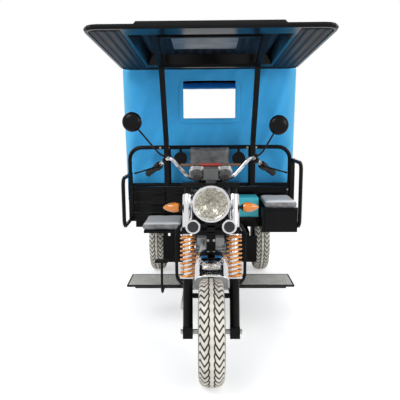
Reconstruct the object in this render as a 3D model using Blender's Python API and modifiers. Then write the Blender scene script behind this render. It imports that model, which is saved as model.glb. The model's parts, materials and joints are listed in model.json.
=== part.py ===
"""Cargo motor tricycle, in metres, Z up, facing -Y, standing on Z = 0.

Lengths along the vehicle are measured from the front axle and heights from the
ground. One empty at the front axle places the whole vehicle, so that the middle
of its length lies on the origin. Vehicle left is +X.
"""
import math

import bmesh
import bpy
from mathutils import Matrix, Vector

# Fits and drawing fineness
GAP = 0.0003
RUNNING_GAP = 0.0004
OVERRUN = 0.01
ROUND_SIDES = 12
SHAFT_SIDES = 16
TYRE_STEPS = 32
ARC_STEPS = 10
CORNER_STEPS = 4
BALL_RINGS = 8
NUT_SIDES = 6
SMOOTH_ANGLE = math.radians(40.0)
UNIT = 1.0
WELD = 0.00003

# Wheels
TYRE_SHARES = ((0.0, 0.3), (0.06, 0.7), (0.2, 0.94), (0.5, 1.0), (0.85, 0.92), (1.0, 0.74))
RIM_WIDTH_SHARE = 0.72
HUB_RADIUS = 0.036
DRUM_DEPTH = 0.05
TYRE_RADIUS = 0.279
FRONT_TYRE_WIDTH = 0.135
REAR_TYRE_WIDTH = 0.141
RIM_RADIUS = 0.165
RIM_WALL = 0.006
RIM_DISC_THICKNESS = 0.012
DRUM_RADIUS = 0.085
HUB_HALF_WIDTH = 0.066
SHAFT_RADIUS = 0.0085
HUB_END_GAP = 0.005
REAR_TRACK_OUTER = 1.106

# Fork and steering
RAKE = math.radians(15.0)
STEM_OFFSET = 0.032
LEG_SPACING = 0.248
LEG_RADIUS = 0.026
LEG_TOP_Z = 0.548
LUG_DROP = 0.03
STANCHION_SINK = 0.06
SPRING_CAP_HEIGHT = 0.012
STANCHION_RADIUS = 0.0185
SPRING_OUTER_RADIUS = 0.0425
SPRING_WIRE_RADIUS = 0.0055
SPRING_TURNS = 10
SPRING_STEPS = 10
SPRING_SEAT_HEIGHT = 0.008
LOWER_YOKE_Z = 0.79
UPPER_YOKE_Z = 1.035
YOKE_THICKNESS = 0.026
YOKE_DEPTH = 0.07
YOKE_MARGIN = 0.03
YOKE_LIP = 0.003
STEM_RADIUS = 0.0165
HEAD_TUBE_RADIUS = 0.03
HEAD_TUBE_END_GAP = 0.014
AXLE_NUT_RADIUS = 0.014
AXLE_NUT_LENGTH = 0.012
FORK_CLAMP_RADIUS = 0.0135

# Handlebar and what is on it
BAR_RADIUS = 0.0115
BAR_ROOT_X = 0.05
BAR_ROOT_RISE = 0.026
BAR_BEND_X = 0.222
BAR_BEND_RISE = 0.152
BAR_BEND_BACK = 0.015
BAR_KNEE_X = 0.118
BAR_KNEE_RISE = 0.034
GRIP_START_X = 0.285
GRIP_START_RISE = 0.1
GRIP_START_BACK = 0.085
GRIP_END_X = 0.36
GRIP_END_RISE = 0.046
GRIP_END_BACK = 0.16
GRIP_RADIUS = 0.0175
SWITCH_RADIUS = 0.023
SWITCH_LENGTH = 0.04
CROSSBAR_X = 0.165
CROSSBAR_RISE = 0.104
CROSSBAR_RADIUS = 0.008
BAR_CLAMP_WIDTH = 0.03
LEVER_TIP_X = 0.425
LEVER_TIP_RISE = 0.056
LEVER_TIP_BACK = 0.045
LEVER_RADIUS = 0.0055
PERCH_REACH = 0.03
LEVER_MID_SHARE = 0.4
LEVER_BOW = 0.012
BAR_CORNER = 0.045
CROSSBAR_BACK = 0.012
BAR_CLAMP_CAP = 0.006
MIRROR_CLAMP_SHARE = 0.45
MIRROR_CLAMP_LENGTH = 0.018
MIRROR_CLAMP_RADIUS = 0.0185
MIRROR_BACK_SHARE = 0.55
RIGHT_MIRROR_X = 0.423
RIGHT_MIRROR_RISE = 0.338
LEFT_MIRROR_X = 0.366
LEFT_MIRROR_RISE = 0.317
MIRROR_RADIUS = 0.053
MIRROR_DEPTH = 0.03
MIRROR_STEM_RADIUS = 0.005
MIRROR_STEM_BOW_X = 0.03
MIRROR_STEM_BOW_RISE = 0.03

# Lamps, horns, gauges
HEADLAMP_RADIUS = 0.0955
HEADLAMP_Z = 0.963
HEADLAMP_FACE_Y = -0.02
HEADLAMP_BOWL_DEPTH = 0.13
HEADLAMP_BOWL_BACK_RADIUS = 0.035
HEADLAMP_RIM_DEPTH = 0.022
LENS_RADIUS = 0.082
LENS_BULGE = 0.012
EAR_THICKNESS = 0.004
EAR_OVERLAP = 0.012
EAR_ROOT_SHARE = 0.7
EAR_BOLT_RADIUS = 0.012
LENS_SEAT_DEPTH = 0.012
LENS_SEAT_STEP = 0.004
BOWL_WAIST_SHARE = 0.8
LENS_MID_SHARE = 0.7
LENS_MID_RISE_SHARE = 0.6
EAR_WIDTH = 0.037
HORN_RADIUS = 0.0385
HORN_DEPTH = 0.045
HORN_Z = 0.843
HORN_FACE_Y = 0.0
HORN_X = 0.0925
HORN_BAR_HEIGHT = 0.02
HORN_BAR_THICKNESS = 0.006
HORN_BACK_SHARE = 0.7
GAUGE_X = 0.074
GAUGE_RADIUS = 0.0415
GAUGE_DEPTH = 0.06
GAUGE_Z = 1.098
GAUGE_Y = 0.15
GAUGE_TILT = math.radians(38.0)
GAUGE_BLOCK_WIDTH = 0.082
GAUGE_BLOCK_HEIGHT = 0.064
GAUGE_BLOCK_DEPTH = 0.05
GAUGE_STAY_WIDTH = 0.05
GAUGE_BACK_SHARE = 0.92
SIGNAL_INNER_X = 0.153
SIGNAL_OUTER_X = 0.26
SIGNAL_Z = 0.916
SIGNAL_HEIGHT = 0.054
SIGNAL_STEM_RADIUS = 0.009
SIGNAL_WIDEST_SHARE = 0.35
SIGNAL_ROOT_SHARE = 0.36
SIGNAL_TIP_SHARE = 0.12

# Front mudguard
MUDGUARD_DROP = 0.066
MUDGUARD_WIDTH = 0.162
MUDGUARD_TAIL_WIDTH = 0.11
MUDGUARD_THICKNESS = 0.004
MUDGUARD_FRONT_ANGLE = math.radians(-31.0)
MUDGUARD_SHOULDER_ANGLE = math.radians(1.0)
MUDGUARD_REAR_ANGLE = math.radians(30.0)
MUDGUARD_FLANGE = 0.03
MUDGUARD_OVERLAP = math.radians(1.0)
MUDGUARD_STAY_WIDTH = 0.05

# Rider frame
TUBE_RADIUS = 0.019
HEAD_ROOT_SHARE = 0.5
FRAME_BEND = 0.085
BACKBONE_Z = 0.83
BACKBONE_END_Y = 0.64
DOWN_TUBE_FOOT_Y = 0.43
CRADLE_Z = 0.32
CRADLE_HALF_WIDTH = 0.13
CRADLE_END_Y = 0.98
CRADLE_TUBE_RADIUS = 0.016
RAIL_X = 0.27
RAIL_WIDTH = 0.04
RAIL_HEIGHT = 0.06
RAIL_START_Y = 1.02
CROSS_MEMBER_HEIGHT = 0.05
CROSS_MEMBER_WIDTH = 0.04
CROSS_MEMBER_HALF_LENGTH = 0.57
CROSS_MEMBER_COUNT = 5
CROSS_MEMBER_SINK = 0.002
CROSS_MEMBER_START_INSET = 0.2
CROSS_MEMBER_END_INSET = 0.01
RAIL_REAR_INSET = 0.1
SEAT_PAN_HALF_WIDTH = 0.11
SEAT_PAN_THICKNESS = 0.02
SEAT_PAN_Z = 0.775
SEAT_POST_INSET = 0.04
SEAT_POST_X = 0.09
SEAT_POST_RADIUS = 0.012
FOOT_CROSS_Y_1 = 0.66
FOOT_CROSS_Y_2 = 0.8
FOOT_CROSS_HALF_LENGTH = 0.5
FOOT_CROSS_RADIUS = 0.012
FOOT_CROSS_Z = 0.3
CRASH_BAR_X = 0.2
CRASH_BAR_Y = 0.325
CRASH_BAR_ROOT_Y = 0.34
CRASH_BAR_TOP_Z = 0.79
CRASH_BAR_BOTTOM_Z = 0.47
CRASH_BAR_FOOT_X = 0.115
CRASH_BAR_RADIUS = 0.0105
CRASH_BAR_CORNER = 0.08
SPLASH_INNER_X = 0.2
SPLASH_OUTER_X = 0.345
SPLASH_INSET = 0.012
SPLASH_THICKNESS = 0.006
SPLASH_BOTTOM_Z = 0.36

# Engine, exhaust, tank
ENGINE_HALF_WIDTH = 0.125
ENGINE_FRONT_Y = 0.47
ENGINE_LENGTH = 0.4
ENGINE_HEIGHT = 0.17
CYLINDER_HALF_WIDTH = 0.092
CYLINDER_DEPTH = 0.12
CYLINDER_HEIGHT = 0.2
CYLINDER_LEAN = math.radians(10.0)
BARREL_SHARE = 0.8
FIN_COUNT = 6
FIN_START = 0.03
FIN_PITCH = 0.02
FIN_THICKNESS = 0.005
HEAD_COVER_HEIGHT = 0.05
HEAD_COVER_SHARE = 0.9
EXHAUST_RADIUS = 0.017
EXHAUST_X = -0.17
EXHAUST_Z = 0.25
EXHAUST_PORT_X = -0.045
EXHAUST_PORT_SHARE = 0.82
EXHAUST_START_CLEARANCE = 0.004
EXHAUST_FRONT_REACH = 0.09
EXHAUST_SWING = 0.02
EXHAUST_BEND = 0.05
STAY_HALF_WIDTH = 0.012
MUFFLER_RADIUS = 0.045
MUFFLER_START_Y = 0.95
MUFFLER_LENGTH = 0.55
TANK_HALF_WIDTH = 0.13
TANK_START_Y = 0.4
TANK_LENGTH = 0.33
TANK_HEIGHT = 0.15
TANK_ROUND = 0.05

# Seats and boxes round the rider
SADDLE_HALF_WIDTH = 0.15
SADDLE_START_Y = 0.75
SADDLE_LENGTH = 0.31
SADDLE_THICKNESS = 0.07
CUSHION_ROUND = 0.018
BACKREST_HALF_WIDTH = 0.16
BACKREST_THICKNESS = 0.05
BACKREST_BOTTOM_Z = 0.96
BACKREST_TOP_Z = 1.212
BACKREST_STAY_X = 0.08
BACKREST_STAY_WIDTH = 0.03
BACKREST_STAY_THICKNESS = 0.006
RIGHT_SEAT_INNER_X = -0.183
RIGHT_SEAT_OUTER_X = -0.477
RIGHT_SEAT_BOTTOM_Z = 0.646
RIGHT_SEAT_THICKNESS = 0.055
LEFT_SEAT_INNER_X = 0.357
LEFT_SEAT_OUTER_X = 0.6
LEFT_SEAT_BOTTOM_Z = 0.798
LEFT_SEAT_THICKNESS = 0.053
SIDE_SEAT_FRONT_Y = 0.8
SIDE_SEAT_REAR_Y = 1.14
SHELF_THICKNESS = 0.018
SHELF_INSET = 0.02
TOOL_BOX_BOTTOM_Z = 0.628
TOOL_BOX_FRONT_Y = 0.84
BATTERY_INNER_X = 0.16
BATTERY_OUTER_X = 0.344
BATTERY_BOTTOM_Z = 0.715
BATTERY_HEIGHT = 0.135
BATTERY_FRONT_Y = 0.96
BATTERY_LENGTH = 0.16
BATTERY_TRAY_LIP = 0.015
BATTERY_TRAY_THICKNESS = 0.01

# Guard loops beside the side seats
LOOP_RADIUS = 0.0135
LOOP_CORNER = 0.05
LOOP_FOOT_REACH = 0.019
LOOP_FRONT_Y = 0.87
RIGHT_LOOP_INSET = 0.018
RIGHT_LOOP_TOP_Z = 1.0
RIGHT_LOOP_BOTTOM_Z = 0.66
LEFT_LOOP_OUTSET = 0.005
LEFT_LOOP_TOP_Z = 1.1
LEFT_LOOP_BOTTOM_Z = 0.655

# Footboards
FOOTBOARD_OUTER_X = 0.543
FOOTBOARD_INNER_X = 0.2
FOOTBOARD_FRONT_Y = 0.62
FOOTBOARD_LENGTH = 0.23
FOOTBOARD_THICKNESS = 0.012

# Brake pedal
PEDAL_PAD_X = -0.31
PEDAL_PAD_WIDTH = 0.08
PEDAL_PAD_LENGTH = 0.05
PEDAL_PAD_THICKNESS = 0.012
PEDAL_PAD_Y = 0.53
PEDAL_PAD_Z = 0.5
PEDAL_ARM_RADIUS = 0.008
PEDAL_HOOK_DROP = 0.21
PEDAL_BEND = 0.04

# Cargo box
BOX_FRONT_Y = 1.19
BOX_LENGTH = 1.6
BOX_WIDTH = 1.23
BOX_BOTTOM_Z = 0.64
WALL_HEIGHT = 0.264
WALL_THICKNESS = 0.025
FLOOR_THICKNESS = 0.02
TAILGATE_CLEARANCE = 0.006
HINGE_RADIUS = 0.011
HINGE_PIN_RADIUS = 0.006
HINGE_KNUCKLE_LENGTH = 0.05
HINGE_SHARE = 0.78
HINGE_LUG_THICKNESS = 0.008
HINGE_LUG_HEIGHT = 0.012
HINGE_ARM_LENGTH = 0.06
TAILGATE_SIDE_INSET = 0.006

# Guard rail on the front wall
RAIL_TOP_Z = 1.2135
GUARD_END_INSET = 0.0005
GUARD_TUBE_RADIUS = 0.015
GUARD_CORNER = 0.09
GUARD_POST_X = 0.30
LOW_BAR_SHARE = 0.8
POST_BAR_SHARE = 0.75
SPEAKER_X = 0.216
SPEAKER_Z = 1.115
SPEAKER_RADIUS = 0.05
SPEAKER_DEPTH = 0.03
SPEAKER_BACK = 0.005
SPEAKER_STAY_WIDTH = 0.02

# Roof over the rider
ROOF_WIDTH = 1.303
ROOF_FRONT_Y = 0.105
ROOF_REAR_Y = 1.296
ROOF_FRONT_Z = 1.838
ROOF_REAR_Z = 1.7805
ROOF_SHEET = 0.012
ROOF_RIM_RADIUS = 0.0145
ROOF_CORNER = 0.07
HUMP_HALF_WIDTH = 0.45
HUMP_INSET_Y = 0.13
HUMP_RISE = 0.075
HUMP_TAPER = 0.05
HUMP_WALL = 0.008
POST_X = 0.32
POST_WIDTH = 0.036
POST_THICKNESS = 0.03
POST_FOOT_Z = 0.915
POST_BEND_Z = 1.25
POST_ARM_REAR_Y = 0.9
POST_ARM_REAR_DROP = 0.055
POST_ARM_FRONT_Y = 0.45
POST_JOINT_OVERLAP = 0.012
TIE_FRONT_SHARE = 0.1
ROOF_CROSS_WIDTH = 0.035

# Cloth cover over the cargo box
COVER_WIDTH = 1.3
COVER_HEM_WIDTH = 1.274
COVER_TOP_Z = 1.83
COVER_SIDE_HEM_Z = 0.79
COVER_CLOTH = 0.004
COVER_FRONT_SETBACK = 0.12
COVER_SHOULDER = 0.05
COVER_CROWN = 0.012
COVER_FRONT_HEM_RISE = 0.008
WINDOW_WIDTH = 0.393
WINDOW_BOTTOM_Z = 1.413
WINDOW_TOP_Z = 1.69
HOOP_RADIUS = 0.011
HOOP_CORNER = 0.06
FRONT_SHEET_SHARE = 1.5
TIE_RADIUS_SHARE = 0.9
ROLL_RADIUS = 0.04
ROLL_END_INSET = 0.06

# Rear axle, springs, lamps
AXLE_TUBE_RADIUS = 0.036
AXLE_TUBE_CLEARANCE = 0.0665
DIFFERENTIAL_RADIUS = 0.1
PROPSHAFT_RADIUS = 0.022
PROPSHAFT_FLANGE_RADIUS = 0.035
PROPSHAFT_FLANGE_LENGTH = 0.03
PROPSHAFT_FRONT_Z = 0.4
LEAF_SPAN_SHARE = 0.2875
LEAF_AXLE_SHARE = 0.554375
LEAF_WIDTH = 0.05
LEAF_THICKNESS = 0.024
LEAF_EYE_RADIUS = 0.018
LEAF_EYE_Z = 0.43
LEAF_STEPS = 10
HANGER_THICKNESS = 0.03
LAMP_BAR_HEIGHT = 0.05
LAMP_BAR_THICKNESS = 0.025
LAMP_BAR_HALF_LENGTH = 0.5
LAMP_WIDTH = 0.15
LAMP_HEIGHT = 0.07
LAMP_DEPTH = 0.035
PLATE_WIDTH = 0.22
PLATE_HEIGHT = 0.14
PLATE_THICKNESS = 0.004

# Places that follow from the sizes above
AXLE_Z = TYRE_RADIUS
MUDGUARD_RADIUS = LOWER_YOKE_Z - YOKE_THICKNESS / 2 - AXLE_Z - MUDGUARD_DROP
LEG_X = LEG_SPACING / 2
BOX_HALF = BOX_WIDTH / 2
GUARD_HALF = BOX_HALF - GUARD_END_INSET
RIGHT_LOOP_X = RIGHT_LOOP_INSET - BOX_HALF
LEFT_LOOP_X = BOX_HALF + LEFT_LOOP_OUTSET
BOX_REAR_Y = BOX_FRONT_Y + BOX_LENGTH
WALL_TOP_Z = BOX_BOTTOM_Z + WALL_HEIGHT
WALL_INNER_Y = BOX_FRONT_Y + WALL_THICKNESS
SIDE_WALL_REAR_Y = BOX_REAR_Y - WALL_THICKNESS - TAILGATE_CLEARANCE
HINGE_Y = BOX_REAR_Y + HINGE_RADIUS
HINGE_Z = BOX_BOTTOM_Z + HINGE_RADIUS
REAR_REACH = HINGE_Y + HINGE_RADIUS
FRONT_AXLE_Y = (TYRE_RADIUS - REAR_REACH) / 2
WHEELBASE = BOX_FRONT_Y + BOX_LENGTH * LEAF_AXLE_SHARE
LEAF_HALF_SPAN = BOX_LENGTH * LEAF_SPAN_SHARE
RAIL_TOP = BOX_BOTTOM_Z - GAP - CROSS_MEMBER_HEIGHT
COVER_FRONT_Y = BOX_FRONT_Y + COVER_FRONT_SETBACK
REAR_WHEEL_X = (REAR_TRACK_OUTER - REAR_TYRE_WIDTH) / 2
AXLE_TUBE_HALF_LENGTH = REAR_WHEEL_X - HUB_HALF_WIDTH - AXLE_TUBE_CLEARANCE
ROOF_SLOPE = (ROOF_REAR_Z - ROOF_FRONT_Z) / (ROOF_REAR_Y - ROOF_FRONT_Y)
CRADLE_TOP_Z = CRADLE_Z + CRADLE_TUBE_RADIUS
LEFT = 1
RIGHT = -1
SIDES = ((LEFT, "left"), (RIGHT, "right"))
MIRROR_HEADS = {LEFT: (LEFT_MIRROR_X, LEFT_MIRROR_RISE), RIGHT: (RIGHT_MIRROR_X, RIGHT_MIRROR_RISE)}

PAINTS = {
    "black_paint": ((0.006, 0.006, 0.007), 0.25, 0.0),
    "frame_black": ((0.01, 0.01, 0.011), 0.4, 0.0),
    "chrome": ((0.75, 0.75, 0.76), 0.08, 1.0),
    "steel": ((0.4, 0.4, 0.41), 0.35, 1.0),
    "spring_gold": ((0.75, 0.3, 0.06), 0.3, 0.8),
    "tyre_rubber": ((0.04, 0.038, 0.036), 0.8, 0.0),
    "black_rubber": ((0.015, 0.015, 0.015), 0.7, 0.0),
    "amber": ((0.9, 0.35, 0.02), 0.15, 0.0),
    "clear_lens": ((0.85, 0.84, 0.8), 0.1, 0.0),
    "blue_cloth": ((0.02, 0.3, 0.63), 0.85, 0.0),
    "seat_vinyl": ((0.12, 0.12, 0.13), 0.45, 0.0),
    "grey_plate": ((0.35, 0.35, 0.34), 0.5, 0.8),
    "teal_plastic": ((0.04, 0.5, 0.6), 0.4, 0.0),
    "cast_alloy": ((0.55, 0.56, 0.57), 0.35, 0.9),
}


def clear_scene():
    for item in list(bpy.data.objects):
        bpy.data.objects.remove(item, do_unlink=True)


def make_collection(name):
    collection = bpy.data.collections.new(name)
    bpy.context.scene.collection.children.link(collection)
    return collection


def make_material(name):
    colour, roughness, metallic = PAINTS[name]
    material = bpy.data.materials.new(name)
    material.use_nodes = True
    shader = material.node_tree.nodes["Principled BSDF"]
    shader.inputs["Base Color"].default_value = (*colour, 1.0)
    shader.inputs["Roughness"].default_value = roughness
    shader.inputs["Metallic"].default_value = metallic
    return material


clear_scene()
PARTS = make_collection("cargo_motor_tricycle")
CUTTERS = make_collection("cutters")
AXES = {}


def make_axis(name, place, parent=None, turn=0.0):
    axis = bpy.data.objects.new(name, None)
    PARTS.objects.link(axis)
    axis.location = place
    axis.rotation_euler = (turn, 0.0, 0.0)
    axis.parent = parent
    bpy.context.view_layer.update()
    AXES[name] = axis
    return axis


def hang_on(item, axis):
    """Parent a piece drawn in front-axle coordinates to a joint's empty."""
    item.parent = AXES[axis]
    shift = AXES["vehicle"].matrix_world
    item.matrix_parent_inverse = AXES[axis].matrix_world.inverted() @ shift


def new_object(name, mesh):
    item = bpy.data.objects.new(name, mesh)
    CUTTERS.objects.link(item)
    return item


def mesh_from(bm, name):
    mesh = bpy.data.meshes.new(name)
    bm.to_mesh(mesh)
    bm.free()
    return mesh


def block(low, high, round_edge=0.0, name="block"):
    """Box between two corners, with its edges rounded if asked."""
    bm = bmesh.new()
    bmesh.ops.create_cube(bm, size=UNIT)
    low, high = Vector(low), Vector(high)
    size = high - low
    bmesh.ops.scale(bm, vec=size, verts=bm.verts)
    bmesh.ops.translate(bm, vec=(low + high) / 2, verts=bm.verts)
    item = new_object(name, mesh_from(bm, name))
    if round_edge:
        bevel = item.modifiers.new("rounded edges", "BEVEL")
        bevel.width = round_edge
        bevel.segments = 2
        bevel.limit_method = "ANGLE"
        item.data.shade_smooth()
    return item


def between(start, end):
    """Matrix that lays the Z axis from start to end, with its origin halfway."""
    start, end = Vector(start), Vector(end)
    way = end - start
    turn = way.to_track_quat("Z", "Y").to_matrix().to_4x4()
    return Matrix.Translation((start + end) / 2) @ turn


def rod(start, end, radius, sides=ROUND_SIDES, end_radius=None, name="rod"):
    """Round bar, or a cone where the two radii differ."""
    bm = bmesh.new()
    length = (Vector(end) - Vector(start)).length
    tip = radius if end_radius is None else end_radius
    bmesh.ops.create_cone(bm, cap_ends=True, segments=sides, radius1=radius, radius2=tip, depth=length)
    bmesh.ops.transform(bm, matrix=between(start, end), verts=bm.verts)
    item = new_object(name, mesh_from(bm, name))
    item.data.shade_smooth()
    item.data.set_sharp_from_angle(angle=SMOOTH_ANGLE)
    return item


def bar(start, end, width, depth, name="bar"):
    """Flat bar between two points; width lies along X where the bar rises."""
    bm = bmesh.new()
    bmesh.ops.create_cube(bm, size=UNIT)
    length = (Vector(end) - Vector(start)).length
    bmesh.ops.scale(bm, vec=(width, depth, length), verts=bm.verts)
    bmesh.ops.transform(bm, matrix=between(start, end), verts=bm.verts)
    return new_object(name, mesh_from(bm, name))


def ball(centre, radius, name="ball"):
    bm = bmesh.new()
    bmesh.ops.create_uvsphere(bm, u_segments=ROUND_SIDES, v_segments=BALL_RINGS, radius=radius)
    bmesh.ops.translate(bm, vec=centre, verts=bm.verts)
    item = new_object(name, mesh_from(bm, name))
    item.data.shade_smooth()
    return item


def turned(profile, matrix, steps=SHAFT_SIDES, name="turned"):
    """Profile of (radius, height) pairs swept round the Z axis of a matrix."""
    bm = bmesh.new()
    points = [bm.verts.new((radius, 0.0, height)) for radius, height in profile]
    for first, second in zip(points, points[1:]):
        bm.edges.new((first, second))
    if profile[0][0] > 0.0:
        bm.edges.new((points[-1], points[0]))
    item = new_object(name, mesh_from(bm, name))
    item.matrix_world = matrix
    screw = item.modifiers.new("turned", "SCREW")
    screw.axis = "Z"
    screw.steps = steps
    screw.render_steps = steps
    screw.use_merge_vertices = True
    screw.merge_threshold = WELD
    screw.use_normal_calculate = True
    return as_mesh(item, name)


def as_mesh(item, name):
    """Freeze a curve or a modified object into a welded mesh at its place."""
    bpy.context.view_layer.update()
    evaluated = item.evaluated_get(bpy.context.evaluated_depsgraph_get())
    mesh = bpy.data.meshes.new_from_object(evaluated)
    place = item.matrix_world.copy()
    bm = bmesh.new()
    bm.from_mesh(mesh)
    bmesh.ops.remove_doubles(bm, verts=bm.verts, dist=WELD)
    bmesh.ops.recalc_face_normals(bm, faces=bm.faces)
    bmesh.ops.transform(bm, matrix=place, verts=bm.verts)
    bm.to_mesh(mesh)
    bm.free()
    bpy.data.objects.remove(item, do_unlink=True)
    result = new_object(name, mesh)
    result.data.shade_smooth()
    result.data.set_sharp_from_angle(angle=SMOOTH_ANGLE)
    return result


def rounded(points, radius, steps=CORNER_STEPS, closed=False):
    """Polyline whose corners are replaced by arcs of one radius."""
    points = [Vector(point) for point in points]
    count = len(points)
    result = []
    for index, corner in enumerate(points):
        if not closed and index in (0, count - 1):
            result.append(corner)
            continue
        before = points[index - 1] - corner
        after = points[(index + 1) % count] - corner
        half = before.angle(after) / 2
        reach = radius / math.tan(half)
        reach = min(reach, before.length / 2, after.length / 2)
        size = reach * math.tan(half)
        bisector = (before.normalized() + after.normalized()).normalized()
        centre = corner + bisector * size / math.sin(half)
        first = corner + before.normalized() * reach - centre
        last = corner + after.normalized() * reach - centre
        for step in range(steps + 1):
            way = first.slerp(last, step / steps).normalized()
            result.append(centre + way * size)
    return result


def tube(points, radius, resolution=1, closed=False, name="tube"):
    """Round tube of solid section along a polyline."""
    curve = bpy.data.curves.new(name, "CURVE")
    curve.dimensions = "3D"
    curve.bevel_depth = radius
    curve.bevel_resolution = resolution
    curve.use_fill_caps = True
    spline = curve.splines.new("POLY")
    spline.points.add(len(points) - 1)
    for point, place in zip(spline.points, points):
        point.co = (*place, 1.0)
    spline.use_cyclic_u = closed
    return as_mesh(new_object(name, curve), name)


def plate(outline, thickness, matrix, holes=(), name="plate"):
    """Flat sheet of an outline drawn in XY, centred on the matrix's plane."""
    curve = bpy.data.curves.new(name, "CURVE")
    curve.dimensions = "2D"
    curve.fill_mode = "BOTH"
    curve.extrude = thickness / 2
    for ring in (outline, *holes):
        spline = curve.splines.new("POLY")
        spline.points.add(len(ring) - 1)
        for point, place in zip(spline.points, ring):
            point.co = (place[0], place[1], 0.0, 1.0)
        spline.use_cyclic_u = True
    item = new_object(name, curve)
    item.matrix_world = matrix
    return as_mesh(item, name)


def upright_across(y):
    """Plane of the X and Z directions at a distance behind the front axle."""
    return Matrix.Translation((0.0, y, 0.0)) @ Matrix.Rotation(math.pi / 2, 4, "X")


def upright_along(x):
    """Plane whose drawing X runs to the rear and drawing Y upwards."""
    turn = Matrix(((0.0, 0.0, 1.0, 0.0), (1.0, 0.0, 0.0, 0.0), (0.0, 1.0, 0.0, 0.0), (0.0, 0.0, 0.0, 1.0)))
    return Matrix.Translation((x, 0.0, 0.0)) @ turn


def finish(name, material, axis, base, joined=(), cut=()):
    """Name a solid, join and cut it, paint it and hang it on its axis."""
    base.name = name
    base.data.name = name
    CUTTERS.objects.unlink(base)
    PARTS.objects.link(base)
    hang_on(base, axis)
    for helpers, operation in ((joined, "UNION"), (cut, "DIFFERENCE")):
        for index, helper in enumerate(helpers):
            helper.name = f"{name}_{operation.lower()}_{index + 1}"
            helper.hide_render = True
            helper.display_type = "WIRE"
            hang_on(helper, axis)
            boolean = base.modifiers.new(helper.name, "BOOLEAN")
            boolean.operation = operation
            boolean.solver = "EXACT"
            boolean.object = helper
    base.data.materials.clear()
    base.data.materials.append(MATERIALS[material])
    return base


def fork_y(z):
    """Distance behind the front axle of the fork legs' line at a height."""
    return (z - AXLE_Z) * math.tan(RAKE)


def stem_y(z):
    return fork_y(z) + STEM_OFFSET / math.cos(RAKE)


def fork_point(x, z, back=0.0):
    return (x, fork_y(z) + back, z)


def bore(radius, sides=SHAFT_SIDES):
    """Radius of a many-sided hole that clears a round pin as it turns."""
    return (radius + RUNNING_GAP) / math.cos(math.pi / sides)


def roof_z(y):
    return ROOF_FRONT_Z + ROOF_SLOPE * (y - ROOF_FRONT_Y)


def wheel_place(x, y, side=LEFT):
    """Wheel's own frame on its axle, Z outwards on the named side."""
    turn = Matrix.Rotation(side * math.pi / 2, 4, "Y")
    return Matrix.Translation((x, y, AXLE_Z)) @ turn


def make_wheel(label, x, y, width, side):
    """Tyre, and a pressed rim with its disc, brake drum and bored hub."""
    axis = f"{label}_axis"
    half = width / 2
    depth = TYRE_RADIUS - RIM_RADIUS
    right_half = [(TYRE_RADIUS - depth * drop, half * share) for drop, share in TYRE_SHARES]
    tyre_profile = [(RIM_RADIUS + GAP, half * TYRE_SHARES[-1][1])]
    tyre_profile += reversed(right_half[:-1])
    tyre_profile += [(radius, -height) for radius, height in right_half[:-1]]
    tyre_profile += [(RIM_RADIUS + GAP, -half * TYRE_SHARES[-1][1])]
    tyre = turned(tyre_profile, wheel_place(x, y), TYRE_STEPS, "tyre")
    finish(f"{label}_tyre", "tyre_rubber", axis, tyre)
    hole = bore(SHAFT_RADIUS)
    disc = RIM_DISC_THICKNESS / 2
    edge = half * RIM_WIDTH_SHARE
    inside = RIM_RADIUS - RIM_WALL
    rim_profile = (
        (RIM_RADIUS, edge), (RIM_RADIUS, -edge), (inside, -edge), (inside, -disc),
        (DRUM_RADIUS, -disc), (DRUM_RADIUS, -DRUM_DEPTH), (HUB_RADIUS, -HUB_HALF_WIDTH),
        (hole, -HUB_HALF_WIDTH), (hole, HUB_HALF_WIDTH), (HUB_RADIUS, HUB_HALF_WIDTH),
        (HUB_RADIUS, disc), (inside, disc), (inside, edge),
    )
    rim = turned(rim_profile, wheel_place(x, y, side), TYRE_STEPS, "rim")
    finish(f"{label}_rim", "black_paint", axis, rim)


def make_front_axle():
    """Fixed spindle with a collar inside each fork leg and a nut outside it."""
    outer = LEG_X + LEG_RADIUS + AXLE_NUT_LENGTH
    spindle = rod((-outer, 0.0, AXLE_Z), (outer, 0.0, AXLE_Z), SHAFT_RADIUS, SHAFT_SIDES)
    joined = []
    for side, _ in SIDES:
        collar_in = side * (HUB_HALF_WIDTH + HUB_END_GAP)
        collar_out = side * (LEG_X - LEG_RADIUS - GAP)
        joined.append(rod((collar_in, 0.0, AXLE_Z), (collar_out, 0.0, AXLE_Z), FORK_CLAMP_RADIUS))
        nut_in = side * (LEG_X + LEG_RADIUS + GAP)
        joined.append(rod((nut_in, 0.0, AXLE_Z), (side * outer, 0.0, AXLE_Z), AXLE_NUT_RADIUS, NUT_SIDES))
    finish("front_axle", "steel", "steering_axis", spindle, joined)


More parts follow.
